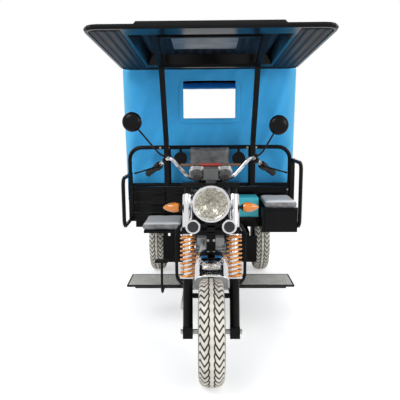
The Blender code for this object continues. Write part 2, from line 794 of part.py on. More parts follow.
def make_fork():
    """Lower legs, gold springs, and the yokes with their stanchions and stem."""
    for side, label in SIDES:
        x = side * LEG_X
        leg = rod(fork_point(x, AXLE_Z), fork_point(x, LEG_TOP_Z), LEG_RADIUS, SHAFT_SIDES)
        lug = block((x - LEG_RADIUS, -LEG_RADIUS, AXLE_Z - LUG_DROP),
                    (x + LEG_RADIUS, LEG_RADIUS, AXLE_Z + LUG_DROP))
        hole_reach = LEG_RADIUS + OVERRUN
        axle_hole = rod((x - hole_reach, 0.0, AXLE_Z), (x + hole_reach, 0.0, AXLE_Z),
                        bore(SHAFT_RADIUS), SHAFT_SIDES)
        socket = rod(fork_point(x, LEG_TOP_Z - STANCHION_SINK - GAP), fork_point(x, LEG_TOP_Z + OVERRUN),
                     bore(STANCHION_RADIUS), SHAFT_SIDES)
        finish(f"fork_leg_{label}", "frame_black", "steering_axis", leg, [lug], [axle_hole, socket])
        coil, seats = make_spring(x)
        finish(f"fork_spring_{label}", "spring_gold", "steering_axis", coil, seats)
    yoke_half = LEG_X + YOKE_MARGIN
    joined = []
    for z in (LOWER_YOKE_Z, UPPER_YOKE_Z):
        front = min(fork_y(z), stem_y(z)) - YOKE_DEPTH / 2
        joined.append(block((-yoke_half, front, z - YOKE_THICKNESS / 2),
                            (yoke_half, stem_y(z) + STEM_RADIUS + YOKE_LIP, z + YOKE_THICKNESS / 2)))
    for side, _ in SIDES:
        x = side * LEG_X
        joined.append(rod(fork_point(x, LEG_TOP_Z - STANCHION_SINK), fork_point(x, UPPER_YOKE_Z),
                          STANCHION_RADIUS, SHAFT_SIDES))
    stem = rod((0.0, stem_y(LOWER_YOKE_Z), LOWER_YOKE_Z), (0.0, stem_y(UPPER_YOKE_Z), UPPER_YOKE_Z),
               STEM_RADIUS, SHAFT_SIDES)
    finish("fork_yokes", "chrome", "steering_axis", stem, joined)


def make_spring(x):
    """Coil between two flat seats, round the stanchion: one wire of many turns."""
    low, high = LEG_TOP_Z + GAP, LOWER_YOKE_Z - YOKE_THICKNESS / 2 - SPRING_CAP_HEIGHT
    start, end = Vector(fork_point(x, low)), Vector(fork_point(x, high))
    matrix = between(start, end)
    half = (end - start).length / 2
    reach = SPRING_OUTER_RADIUS - SPRING_WIRE_RADIUS
    steps = SPRING_TURNS * SPRING_STEPS
    climb = half * 2 - SPRING_SEAT_HEIGHT
    points = []
    for step in range(steps + 1):
        turn = math.tau * step / SPRING_STEPS
        rise = climb * step / steps - climb / 2
        points.append(matrix @ Vector((reach * math.cos(turn), reach * math.sin(turn), rise)))
    coil = tube(points, SPRING_WIRE_RADIUS, 0, name="spring")
    inner = bore(STANCHION_RADIUS)
    seats = []
    for base in (-half, half - SPRING_SEAT_HEIGHT):
        profile = ((SPRING_OUTER_RADIUS, base + SPRING_SEAT_HEIGHT), (SPRING_OUTER_RADIUS, base),
                   (inner, base), (inner, base + SPRING_SEAT_HEIGHT))
        seats.append(turned(profile, matrix, ROUND_SIDES, "seat"))
    return coil, seats


def bar_point(x, rise, back):
    """Point of the handlebar, above and behind the stem's top."""
    z = UPPER_YOKE_Z + rise
    return (x, stem_y(UPPER_YOKE_Z) + back, z)


def make_handlebar():
    """High chromed bar with its crossbar and two clamps."""
    side_points = [bar_point(BAR_ROOT_X, BAR_ROOT_RISE, 0.0), bar_point(BAR_KNEE_X, BAR_KNEE_RISE, 0.0),
                   bar_point(BAR_BEND_X, BAR_BEND_RISE, BAR_BEND_BACK),
                   bar_point(GRIP_START_X, GRIP_START_RISE, GRIP_START_BACK),
                   bar_point(GRIP_END_X, GRIP_END_RISE, GRIP_END_BACK)]
    mirrored = [(-x, y, z) for x, y, z in reversed(side_points)]
    bar_tube = tube(rounded(mirrored + side_points, BAR_CORNER), BAR_RADIUS, name="handlebar")
    cross_start = bar_point(-CROSSBAR_X, CROSSBAR_RISE, CROSSBAR_BACK)
    cross_end = bar_point(CROSSBAR_X, CROSSBAR_RISE, CROSSBAR_BACK)
    joined = [rod(cross_start, cross_end, CROSSBAR_RADIUS)]
    for side, _ in SIDES:
        x = side * BAR_ROOT_X
        y = stem_y(UPPER_YOKE_Z)
        joined.append(block((x - BAR_CLAMP_WIDTH / 2, y - BAR_CLAMP_WIDTH / 2,
                             UPPER_YOKE_Z + YOKE_THICKNESS / 2 + GAP),
                            (x + BAR_CLAMP_WIDTH / 2, y + BAR_CLAMP_WIDTH / 2,
                             UPPER_YOKE_Z + BAR_ROOT_RISE + BAR_RADIUS + BAR_CLAMP_CAP)))
    finish("handlebar", "chrome", "steering_axis", bar_tube, joined)


def make_controls():
    """Each side's rubber grip, switch housing, lever perch and lever, fused."""
    for side, label in SIDES:
        start = Vector(bar_point(side * GRIP_START_X, GRIP_START_RISE, GRIP_START_BACK))
        end = Vector(bar_point(side * GRIP_END_X, GRIP_END_RISE, GRIP_END_BACK))
        way = (end - start).normalized()
        switch_end = start + way * SWITCH_LENGTH
        outer_end = end + way * OVERRUN
        grip = rod(switch_end, outer_end, GRIP_RADIUS)
        switch = rod(start, switch_end + way * GAP, SWITCH_RADIUS)
        perch_root = start + way * SWITCH_LENGTH / 2
        perch_tip = perch_root + Vector((0.0, -PERCH_REACH, 0.0))
        perch = bar(perch_root, perch_tip, SWITCH_LENGTH / 2, SWITCH_LENGTH / 2)
        tip = Vector(bar_point(side * LEVER_TIP_X, LEVER_TIP_RISE, LEVER_TIP_BACK))
        lever = tube([perch_tip, perch_tip.lerp(tip, LEVER_MID_SHARE) + Vector((0.0, -LEVER_BOW, 0.0)),
                      tip],
                     LEVER_RADIUS, name="lever")
        hole = rod(start - way * OVERRUN, end + way * GAP, bore(BAR_RADIUS))
        finish(f"grip_{label}", "black_rubber", "steering_axis", grip, [switch, perch, lever], [hole])


def make_mirrors():
    """Round mirrors on thin stems that rise from the handlebar's bends."""
    for side, label in SIDES:
        bend = Vector(bar_point(side * BAR_BEND_X, BAR_BEND_RISE, BAR_BEND_BACK))
        start = Vector(bar_point(side * GRIP_START_X, GRIP_START_RISE, GRIP_START_BACK))
        root = bend.lerp(start, MIRROR_CLAMP_SHARE)
        along = (start - bend).normalized()
        clamp_half = along * MIRROR_CLAMP_LENGTH / 2
        clamp = rod(root - clamp_half, root + clamp_half, MIRROR_CLAMP_RADIUS)
        hole = rod(root - clamp_half * 2, root + clamp_half * 2, bore(BAR_RADIUS))
        reach, rise = MIRROR_HEADS[side]
        head = Vector(bar_point(side * reach, rise, 0.0))
        bow = root + Vector((side * MIRROR_STEM_BOW_X, 0.0, MIRROR_STEM_BOW_RISE))
        foot = root + Vector((0.0, 0.0, BAR_RADIUS + MIRROR_STEM_RADIUS))
        stem = tube([foot, bow, head], MIRROR_STEM_RADIUS, name="stem")
        front = head + Vector((0.0, -MIRROR_DEPTH, 0.0))
        shell = rod(head, front, MIRROR_RADIUS, SHAFT_SIDES, MIRROR_RADIUS * MIRROR_BACK_SHARE)
        finish(f"mirror_{label}", "frame_black", "steering_axis", stem, [shell, clamp], [hole])


def make_headlamp():
    """Chromed bowl with its rim, two ears to the stanchions, and the lens."""
    face = HEADLAMP_FACE_Y
    rim_back = face + HEADLAMP_RIM_DEPTH
    bowl_back = face + HEADLAMP_BOWL_DEPTH
    centre_frame = Matrix.Translation((0.0, 0.0, HEADLAMP_Z)) @ Matrix.Rotation(-math.pi / 2, 4, "X")
    seat = face + LENS_SEAT_DEPTH
    profile = (
        (0.0, bowl_back), (HEADLAMP_BOWL_BACK_RADIUS, bowl_back),
        (HEADLAMP_RADIUS * BOWL_WAIST_SHARE, (rim_back + bowl_back) / 2),
        (HEADLAMP_RADIUS - LENS_SEAT_STEP, rim_back), (HEADLAMP_RADIUS, rim_back), (HEADLAMP_RADIUS, face),
        (LENS_RADIUS + GAP, face), (LENS_RADIUS + GAP, seat), (0.0, seat),
    )
    bowl = turned(profile, centre_frame, SHAFT_SIDES * 2, "bowl")
    joined = []
    for side, _ in SIDES:
        x = side * (HEADLAMP_RADIUS - EAR_OVERLAP)
        far = side * (LEG_X - STANCHION_RADIUS - GAP)
        mid_y = (rim_back + bowl_back) / 2
        joined.append(rod((x * EAR_ROOT_SHARE, mid_y, HEADLAMP_Z), (far, mid_y, HEADLAMP_Z),
                          EAR_BOLT_RADIUS))
        stay_rear = fork_y(HEADLAMP_Z)
        joined.append(block((min(far, far - side * EAR_THICKNESS), mid_y - EAR_BOLT_RADIUS,
                             HEADLAMP_Z - EAR_WIDTH / 2),
                            (max(far, far - side * EAR_THICKNESS), stay_rear, HEADLAMP_Z + EAR_WIDTH / 2)))
    finish("headlamp_bowl", "chrome", "steering_axis", bowl, joined)
    lens_profile = (
        (0.0, seat - GAP), (LENS_RADIUS, seat - GAP), (LENS_RADIUS, face),
        (LENS_RADIUS * LENS_MID_SHARE, face - LENS_BULGE * LENS_MID_RISE_SHARE), (0.0, face - LENS_BULGE),
    )
    lens = turned(lens_profile, centre_frame, SHAFT_SIDES * 2, "lens")
    finish("headlamp_lens", "clear_lens", "steering_axis", lens)


def make_horns():
    """Two round horns on one bar that the lower yoke carries."""
    bar_y = HORN_FACE_Y + HORN_DEPTH
    top = HORN_Z + HORN_BAR_HEIGHT / 2
    bridge = block((-HORN_X, bar_y - HORN_BAR_THICKNESS, HORN_Z - HORN_BAR_HEIGHT / 2),
                   (HORN_X, bar_y, top))
    yoke_front = fork_y(LOWER_YOKE_Z) - YOKE_DEPTH / 2
    yoke_top = LOWER_YOKE_Z + YOKE_THICKNESS / 2
    joined = [block((-HORN_BAR_HEIGHT, bar_y - HORN_BAR_THICKNESS, yoke_top + GAP),
                    (HORN_BAR_HEIGHT, yoke_front + YOKE_DEPTH / 2, yoke_top + HORN_BAR_THICKNESS)),
              block((-HORN_BAR_HEIGHT, bar_y - HORN_BAR_THICKNESS, yoke_top + GAP),
                    (HORN_BAR_HEIGHT, bar_y, top))]
    for side, _ in SIDES:
        x = side * HORN_X
        joined.append(rod((x, HORN_FACE_Y, HORN_Z), (x, bar_y, HORN_Z), HORN_RADIUS, SHAFT_SIDES,
                          HORN_RADIUS * HORN_BACK_SHARE))
    finish("horns", "chrome", "steering_axis", bridge, joined)


def make_gauges():
    """Two round gauges and a block between them on a stay from the yoke."""
    lean = Vector((0.0, -math.cos(GAUGE_TILT), -math.sin(GAUGE_TILT)))
    centre = Vector((0.0, GAUGE_Y, GAUGE_Z))
    half_block = Vector((GAUGE_BLOCK_WIDTH / 2, GAUGE_BLOCK_DEPTH / 2, GAUGE_BLOCK_HEIGHT / 2))
    body = block(centre - half_block, centre + half_block)
    joined = []
    for side, _ in SIDES:
        middle = centre + Vector((side * GAUGE_X, 0.0, 0.0))
        joined.append(rod(middle - lean * GAUGE_DEPTH / 2, middle + lean * GAUGE_DEPTH / 2, GAUGE_RADIUS,
                          SHAFT_SIDES, GAUGE_RADIUS * GAUGE_BACK_SHARE))
    foot_y = stem_y(UPPER_YOKE_Z) - YOKE_DEPTH / 2
    foot_z = UPPER_YOKE_Z + YOKE_THICKNESS / 2 + GAP
    joined.append(block((-GAUGE_STAY_WIDTH / 2, GAUGE_Y, foot_z),
                        (GAUGE_STAY_WIDTH / 2, foot_y, GAUGE_Z)))
    finish("gauge_cluster", "black_rubber", "steering_axis", body, joined)


def make_signals():
    """Amber lamps on black stems that bolt to the stanchions."""
    for side, label in SIDES:
        root = side * (LEG_X + STANCHION_RADIUS + GAP)
        inner = side * SIGNAL_INNER_X
        outer = side * SIGNAL_OUTER_X
        y = fork_y(SIGNAL_Z)
        stem = rod((root, y, SIGNAL_Z), (inner + side * OVERRUN, y, SIGNAL_Z), SIGNAL_STEM_RADIUS)
        widest = inner + (outer - inner) * SIGNAL_WIDEST_SHARE
        lamp_in = rod((inner, y, SIGNAL_Z), (widest, y, SIGNAL_Z), SIGNAL_HEIGHT * SIGNAL_ROOT_SHARE,
                      SHAFT_SIDES, SIGNAL_HEIGHT / 2)
        lamp_out = rod((widest - side * GAP, y, SIGNAL_Z), (outer, y, SIGNAL_Z), SIGNAL_HEIGHT / 2,
                       SHAFT_SIDES, SIGNAL_HEIGHT * SIGNAL_TIP_SHARE)
        finish(f"turn_signal_{label}", "amber", "steering_axis", stem, [lamp_in, lamp_out])


def arc_band(radius, thickness, start, end, steps=ARC_STEPS):
    """Curved strip's outline in the upright plane, round the front axle."""
    outer = []
    inner = []
    for step in range(steps + 1):
        angle = start + (end - start) * step / steps
        way = Vector((math.sin(angle), math.cos(angle)))
        outer.append(way * (radius + thickness))
        inner.append(way * radius)
    return [(p.x, p.y + AXLE_Z) for p in outer + inner[::-1]]


def make_mudguard():
    """Short wide blade ahead of the springs, a narrow tail and a stay."""
    band = arc_band(MUDGUARD_RADIUS - MUDGUARD_FLANGE, MUDGUARD_FLANGE + MUDGUARD_THICKNESS,
                    MUDGUARD_FRONT_ANGLE, MUDGUARD_SHOULDER_ANGLE)
    blade = plate(band, MUDGUARD_WIDTH, upright_along(0.0))
    hollow_band = arc_band(MUDGUARD_RADIUS - MUDGUARD_FLANGE * 2, MUDGUARD_FLANGE * 2,
                           MUDGUARD_FRONT_ANGLE - MUDGUARD_OVERLAP,
                           MUDGUARD_SHOULDER_ANGLE + MUDGUARD_OVERLAP)
    hollow = plate(hollow_band, MUDGUARD_WIDTH - MUDGUARD_THICKNESS * 2, upright_along(0.0))
    tail_start = MUDGUARD_SHOULDER_ANGLE - MUDGUARD_OVERLAP * 2
    tail_band = arc_band(MUDGUARD_RADIUS + GAP, MUDGUARD_THICKNESS - GAP * 2, tail_start,
                         MUDGUARD_REAR_ANGLE)
    tail = plate(tail_band, MUDGUARD_TAIL_WIDTH, upright_along(0.0))
    joined = [tail]
    y = fork_y(LOWER_YOKE_Z)
    low = AXLE_Z + math.sqrt(MUDGUARD_RADIUS ** 2 - y ** 2)
    high = LOWER_YOKE_Z - YOKE_THICKNESS / 2 - GAP
    joined.append(block((-MUDGUARD_STAY_WIDTH / 2, y - MUDGUARD_STAY_WIDTH / 2, low + GAP),
                        (MUDGUARD_STAY_WIDTH / 2, y + MUDGUARD_STAY_WIDTH / 2, high)))
    finish("front_mudguard", "chrome", "steering_axis", blade, joined, [hollow])


def make_crash_bar(side):
    """Hoop beside the fork spring, from the backbone's root down to the cradle."""
    x = side * CRASH_BAR_X
    points = [(0.0, CRASH_BAR_ROOT_Y, BACKBONE_Z), (x, CRASH_BAR_Y, CRASH_BAR_TOP_Z),
              (x, CRASH_BAR_Y, CRASH_BAR_BOTTOM_Z), (side * CRASH_BAR_FOOT_X, DOWN_TUBE_FOOT_Y, CRADLE_Z)]
    return tube(rounded(points, CRASH_BAR_CORNER), CRASH_BAR_RADIUS, name="crash_bar")


def make_main_frame():
    """Head tube, backbone, down tube, cradle, ladder rails and cross-members."""
    low_z = LOWER_YOKE_Z + YOKE_THICKNESS / 2 + HEAD_TUBE_END_GAP
    high_z = UPPER_YOKE_Z - YOKE_THICKNESS / 2 - HEAD_TUBE_END_GAP
    head = rod((0.0, stem_y(low_z), low_z), (0.0, stem_y(high_z), high_z), HEAD_TUBE_RADIUS, SHAFT_SIDES)
    stem_hole = rod((0.0, stem_y(low_z - OVERRUN), low_z - OVERRUN),
                    (0.0, stem_y(high_z + OVERRUN), high_z + OVERRUN),
                    bore(STEM_RADIUS), SHAFT_SIDES)
    root_y = stem_y(BACKBONE_Z) + HEAD_TUBE_RADIUS * HEAD_ROOT_SHARE
    rail_mid_z = RAIL_TOP - RAIL_HEIGHT / 2
    cross_half = RAIL_X
    end_z = SEAT_PAN_Z - SEAT_PAN_THICKNESS / 2
    joined = [
        tube(rounded([(0.0, root_y, BACKBONE_Z), (0.0, BACKBONE_END_Y, BACKBONE_Z),
                      (0.0, RAIL_START_Y + RAIL_WIDTH / 2, rail_mid_z)], FRAME_BEND), TUBE_RADIUS, 2),
        tube([(0.0, root_y, low_z + TUBE_RADIUS * 2), (0.0, DOWN_TUBE_FOOT_Y,
                                                       CRADLE_Z - CRADLE_TUBE_RADIUS / 2)],
             TUBE_RADIUS, 2),
        rod((-CRADLE_HALF_WIDTH, DOWN_TUBE_FOOT_Y, CRADLE_Z),
            (CRADLE_HALF_WIDTH, DOWN_TUBE_FOOT_Y, CRADLE_Z),
            CRADLE_TUBE_RADIUS),
        block((-cross_half, RAIL_START_Y + GAP, RAIL_TOP - RAIL_HEIGHT + GAP),
              (cross_half, RAIL_START_Y + RAIL_WIDTH, RAIL_TOP - GAP)),
        block((-SEAT_PAN_HALF_WIDTH, SADDLE_START_Y + SEAT_POST_INSET, end_z),
              (SEAT_PAN_HALF_WIDTH, SADDLE_START_Y + SADDLE_LENGTH - SEAT_POST_INSET,
               SEAT_PAN_Z + SEAT_PAN_THICKNESS / 2)),
    ]
    for side, _ in SIDES:
        joined.append(make_crash_bar(side))
        low_x, high_x = sorted((side * SPLASH_INNER_X, side * SPLASH_OUTER_X))
        joined.append(block((low_x, RAIL_START_Y + SPLASH_INSET, SPLASH_BOTTOM_Z),
                            (high_x, RAIL_START_Y + SPLASH_INSET + SPLASH_THICKNESS,
                             RAIL_TOP - RAIL_HEIGHT / 2)))
    for y in (FOOT_CROSS_Y_1, FOOT_CROSS_Y_2):
        joined.append(rod((-FOOT_CROSS_HALF_LENGTH, y, FOOT_CROSS_Z),
                          (FOOT_CROSS_HALF_LENGTH, y, FOOT_CROSS_Z),
                          FOOT_CROSS_RADIUS))
    for side, _ in SIDES:
        x = side * CRADLE_HALF_WIDTH
        joined.append(tube(rounded([(x, DOWN_TUBE_FOOT_Y, CRADLE_Z), (x, CRADLE_END_Y, CRADLE_Z),
                                    (x, RAIL_START_Y + RAIL_WIDTH / 2, rail_mid_z)], FRAME_BEND),
                           CRADLE_TUBE_RADIUS, 2))
        x = side * RAIL_X
        rail_rear = BOX_REAR_Y - RAIL_REAR_INSET
        joined.append(block((x - RAIL_WIDTH / 2, RAIL_START_Y, RAIL_TOP - RAIL_HEIGHT),
                            (x + RAIL_WIDTH / 2, rail_rear, RAIL_TOP)))
        post_x = side * SEAT_POST_X
        post_top = (post_x, SADDLE_START_Y + SADDLE_LENGTH - SEAT_POST_INSET - TUBE_RADIUS, SEAT_PAN_Z)
        joined.append(tube([post_top, (post_x, RAIL_START_Y + RAIL_WIDTH / 2, rail_mid_z)],
                           SEAT_POST_RADIUS))
        for share in (RIGHT, LEFT):
            y = WHEELBASE + share * LEAF_HALF_SPAN
            eye_top = LEAF_EYE_Z + LEAF_EYE_RADIUS + GAP
            joined.append(block((x - LEAF_WIDTH / 2, y - HANGER_THICKNESS / 2, eye_top),
                                (x + LEAF_WIDTH / 2, y + HANGER_THICKNESS / 2, RAIL_TOP - RAIL_HEIGHT / 2)))
    last_y = BOX_REAR_Y - RAIL_REAR_INSET - CROSS_MEMBER_WIDTH - CROSS_MEMBER_END_INSET
    span = last_y - RAIL_START_Y - CROSS_MEMBER_START_INSET
    for index in range(CROSS_MEMBER_COUNT):
        y = RAIL_START_Y + CROSS_MEMBER_START_INSET + span * index / (CROSS_MEMBER_COUNT - 1)
        joined.append(block((-CROSS_MEMBER_HALF_LENGTH, y, RAIL_TOP - CROSS_MEMBER_SINK),
                            (CROSS_MEMBER_HALF_LENGTH, y + CROSS_MEMBER_WIDTH,
                             RAIL_TOP + CROSS_MEMBER_HEIGHT)))
    finish("main_frame", "frame_black", "vehicle", head, joined, [stem_hole])


def make_engine():
    """Crankcase block with a leaning finned cylinder and its head."""
    low = CRADLE_TOP_Z + GAP
    high = low + ENGINE_HEIGHT
    case = block((-ENGINE_HALF_WIDTH, ENGINE_FRONT_Y, low), (ENGINE_HALF_WIDTH,
                                                             ENGINE_FRONT_Y + ENGINE_LENGTH, high),
                 CUSHION_ROUND)
    foot_y = ENGINE_FRONT_Y + CYLINDER_DEPTH / 2
    up = Vector((0.0, -math.sin(CYLINDER_LEAN), math.cos(CYLINDER_LEAN)))
    foot = Vector((0.0, foot_y, high - OVERRUN))
    barrel = bar(foot, foot + up * CYLINDER_HEIGHT, CYLINDER_HALF_WIDTH * 2 * BARREL_SHARE,
                 CYLINDER_DEPTH * BARREL_SHARE)
    joined = [barrel]
    for index in range(FIN_COUNT):
        middle = foot + up * (FIN_START + FIN_PITCH * index)
        joined.append(bar(middle, middle + up * FIN_THICKNESS, CYLINDER_HALF_WIDTH * 2, CYLINDER_DEPTH))
    head_low = foot + up * (CYLINDER_HEIGHT - HEAD_COVER_HEIGHT)
    joined.append(bar(head_low, foot + up * CYLINDER_HEIGHT, CYLINDER_HALF_WIDTH * 2 * HEAD_COVER_SHARE,
                      CYLINDER_DEPTH * HEAD_COVER_SHARE))
    finish("engine", "cast_alloy", "vehicle", case, joined)
    return foot, up


def make_exhaust(foot, up):
    """Pipe from the cylinder's front, down and back to a round muffler."""
    port = foot + up * (CYLINDER_HEIGHT * EXHAUST_PORT_SHARE)
    port.x = EXHAUST_PORT_X
    port.y -= CYLINDER_DEPTH * HEAD_COVER_SHARE / 2 + EXHAUST_START_CLEARANCE
    front_y = port.y - EXHAUST_FRONT_REACH
    muffler_y = MUFFLER_START_Y
    points = [port, Vector((port.x, front_y, port.z - EXHAUST_RADIUS)),
              Vector((EXHAUST_X, front_y + EXHAUST_SWING, EXHAUST_Z)),
              Vector((EXHAUST_X, muffler_y, EXHAUST_Z))]
    pipe = tube(rounded(points, EXHAUST_BEND, 5), EXHAUST_RADIUS, 2, name="exhaust")
    muffler = rod((EXHAUST_X, muffler_y - OVERRUN, EXHAUST_Z),
                  (EXHAUST_X, muffler_y + MUFFLER_LENGTH, EXHAUST_Z),
                  MUFFLER_RADIUS, SHAFT_SIDES)
    stay = block((EXHAUST_X - STAY_HALF_WIDTH, RAIL_START_Y, EXHAUST_Z),
                 (EXHAUST_X + STAY_HALF_WIDTH, RAIL_START_Y + RAIL_WIDTH, RAIL_TOP - RAIL_HEIGHT - GAP))
    finish("exhaust", "steel", "vehicle", pipe, [muffler, stay])


def make_tank_and_saddle():
    """Fuel tank astride the backbone, and the rider's saddle behind it."""
    tank_low = BACKBONE_Z + TUBE_RADIUS + GAP
    tank = block((-TANK_HALF_WIDTH, TANK_START_Y, tank_low),
                 (TANK_HALF_WIDTH, TANK_START_Y + TANK_LENGTH, tank_low + TANK_HEIGHT), TANK_ROUND)
    finish("fuel_tank", "black_paint", "vehicle", tank)
    low = SEAT_PAN_Z + SEAT_PAN_THICKNESS / 2 + GAP
    saddle = block((-SADDLE_HALF_WIDTH, SADDLE_START_Y, low),
                   (SADDLE_HALF_WIDTH, SADDLE_START_Y + SADDLE_LENGTH, low + SADDLE_THICKNESS),
                   CUSHION_ROUND)
    finish("saddle", "seat_vinyl", "vehicle", saddle)
    back = BOX_FRONT_Y - BACKREST_STAY_THICKNESS - GAP
    rest = block((-BACKREST_HALF_WIDTH, back - BACKREST_THICKNESS, BACKREST_BOTTOM_Z),
                 (BACKREST_HALF_WIDTH, back, BACKREST_TOP_Z), CUSHION_ROUND)
    finish("backrest", "seat_vinyl", "vehicle", rest)


def make_side_seats():
    """Low seat on a shelf at the right, higher seat on a tool box at the left."""
    right = block((RIGHT_SEAT_OUTER_X, SIDE_SEAT_FRONT_Y, RIGHT_SEAT_BOTTOM_Z),
                  (RIGHT_SEAT_INNER_X, SIDE_SEAT_REAR_Y, RIGHT_SEAT_BOTTOM_Z + RIGHT_SEAT_THICKNESS),
                  CUSHION_ROUND)
    finish("side_seat_right", "seat_vinyl", "vehicle", right)
    left = block((LEFT_SEAT_INNER_X, SIDE_SEAT_FRONT_Y, LEFT_SEAT_BOTTOM_Z),
                 (LEFT_SEAT_OUTER_X, SIDE_SEAT_REAR_Y, LEFT_SEAT_BOTTOM_Z + LEFT_SEAT_THICKNESS),
                 CUSHION_ROUND)
    finish("side_seat_left", "seat_vinyl", "vehicle", left)
    tool_box = block((LEFT_SEAT_INNER_X, TOOL_BOX_FRONT_Y, TOOL_BOX_BOTTOM_Z),
                     (LEFT_SEAT_OUTER_X, BOX_FRONT_Y - GAP, LEFT_SEAT_BOTTOM_Z - GAP))
    finish("tool_box", "black_paint", "vehicle", tool_box)
    battery = block((BATTERY_INNER_X, BATTERY_FRONT_Y, BATTERY_BOTTOM_Z),
                    (BATTERY_OUTER_X, BATTERY_FRONT_Y + BATTERY_LENGTH, BATTERY_BOTTOM_Z + BATTERY_HEIGHT))
    finish("battery_case", "teal_plastic", "vehicle", battery)


def make_front_wall():
    """Ribbed panel with the shelves and stays that stand out in front of it."""
    front, low, high = BOX_FRONT_Y, BOX_BOTTOM_Z, WALL_TOP_Z
    panel = block((-BOX_HALF, front, low), (BOX_HALF, WALL_INNER_Y, high))
    joined = [
        block((RIGHT_SEAT_OUTER_X + SHELF_INSET, SIDE_SEAT_FRONT_Y + SHELF_INSET,
               RIGHT_SEAT_BOTTOM_Z - GAP - SHELF_THICKNESS),
              (RIGHT_SEAT_INNER_X - SHELF_INSET, front + WALL_THICKNESS / 2, RIGHT_SEAT_BOTTOM_Z - GAP)),
        block((BATTERY_INNER_X - BATTERY_TRAY_LIP, BATTERY_FRONT_Y - BATTERY_TRAY_LIP,
               BATTERY_BOTTOM_Z - GAP - BATTERY_TRAY_THICKNESS),
              (BATTERY_OUTER_X, front + WALL_THICKNESS / 2, BATTERY_BOTTOM_Z - GAP)),
    ]
    for side, _ in SIDES:
        x = side * BACKREST_STAY_X
        joined.append(block((x - BACKREST_STAY_WIDTH / 2, front - BACKREST_STAY_THICKNESS,
                             low + WALL_HEIGHT / 2),
                            (x + BACKREST_STAY_WIDTH / 2, front + GAP,
                             BACKREST_TOP_Z - BACKREST_STAY_WIDTH)))
    finish("box_front_wall", "black_paint", "vehicle", panel, joined)


def make_box():
    """Floor, two side walls and the tailgate with its pinned hinges."""
    inner = BOX_HALF - WALL_THICKNESS - GAP
    floor_top = BOX_BOTTOM_Z + FLOOR_THICKNESS
    floor = block((-inner, WALL_INNER_Y + GAP, BOX_BOTTOM_Z), (inner, SIDE_WALL_REAR_Y, floor_top))
    pin_reach = HINGE_KNUCKLE_LENGTH / 2 + HINGE_LUG_THICKNESS + TAILGATE_CLEARANCE
    hinge_x = BOX_HALF * HINGE_SHARE
    joined = []
    knuckles = []
    holes = []
    for side, _ in SIDES:
        x = side * hinge_x
        joined.append(rod((x - pin_reach, HINGE_Y, HINGE_Z), (x + pin_reach, HINGE_Y, HINGE_Z),
                          HINGE_PIN_RADIUS,
                          SHAFT_SIDES))
        for end in (-1, 1):
            lug_x = x + end * (pin_reach - HINGE_LUG_THICKNESS / 2)
            low_x, high_x = lug_x - HINGE_LUG_THICKNESS / 2, lug_x + HINGE_LUG_THICKNESS / 2
            arm_top = BOX_BOTTOM_Z - TAILGATE_CLEARANCE
            joined.append(block((low_x, SIDE_WALL_REAR_Y - HINGE_ARM_LENGTH, arm_top - HINGE_LUG_HEIGHT),
                                (high_x, HINGE_Y + HINGE_PIN_RADIUS, arm_top)))
            joined.append(block((low_x, SIDE_WALL_REAR_Y - HINGE_ARM_LENGTH, arm_top - HINGE_LUG_HEIGHT),
                                (high_x, SIDE_WALL_REAR_Y - TAILGATE_CLEARANCE,
                                 BOX_BOTTOM_Z + FLOOR_THICKNESS / 2)))
            joined.append(block((low_x, HINGE_Y - HINGE_PIN_RADIUS, arm_top - HINGE_LUG_HEIGHT / 2),
                                (high_x, HINGE_Y + HINGE_PIN_RADIUS, HINGE_Z + HINGE_PIN_RADIUS)))
        half = HINGE_KNUCKLE_LENGTH / 2
        knuckles.append(rod((x - half, HINGE_Y, HINGE_Z), (x + half, HINGE_Y, HINGE_Z), HINGE_RADIUS,
                            SHAFT_SIDES))
        knuckles.append(block((x - half, BOX_REAR_Y - GAP, HINGE_Z - HINGE_RADIUS / 2),
                              (x + half, HINGE_Y, HINGE_Z + HINGE_RADIUS)))
        reach = half + OVERRUN
        holes.append(rod((x - reach, HINGE_Y, HINGE_Z), (x + reach, HINGE_Y, HINGE_Z),
                         bore(HINGE_PIN_RADIUS),
                         SHAFT_SIDES))
    finish("box_floor", "frame_black", "vehicle", floor, joined)
    for side, label in SIDES:
        low_x, high_x = sorted((side * (BOX_HALF - WALL_THICKNESS), side * BOX_HALF))
        wall = block((low_x, WALL_INNER_Y + GAP, BOX_BOTTOM_Z), (high_x, SIDE_WALL_REAR_Y, WALL_TOP_Z))
        finish(f"box_side_{label}", "black_paint", "vehicle", wall)
    gate_half = BOX_HALF - TAILGATE_SIDE_INSET
    gate = block((-gate_half, BOX_REAR_Y - WALL_THICKNESS, BOX_BOTTOM_Z),
                 (gate_half, BOX_REAR_Y, WALL_TOP_Z))
    finish("tailgate", "black_paint", "tailgate_axis", gate, knuckles, holes)


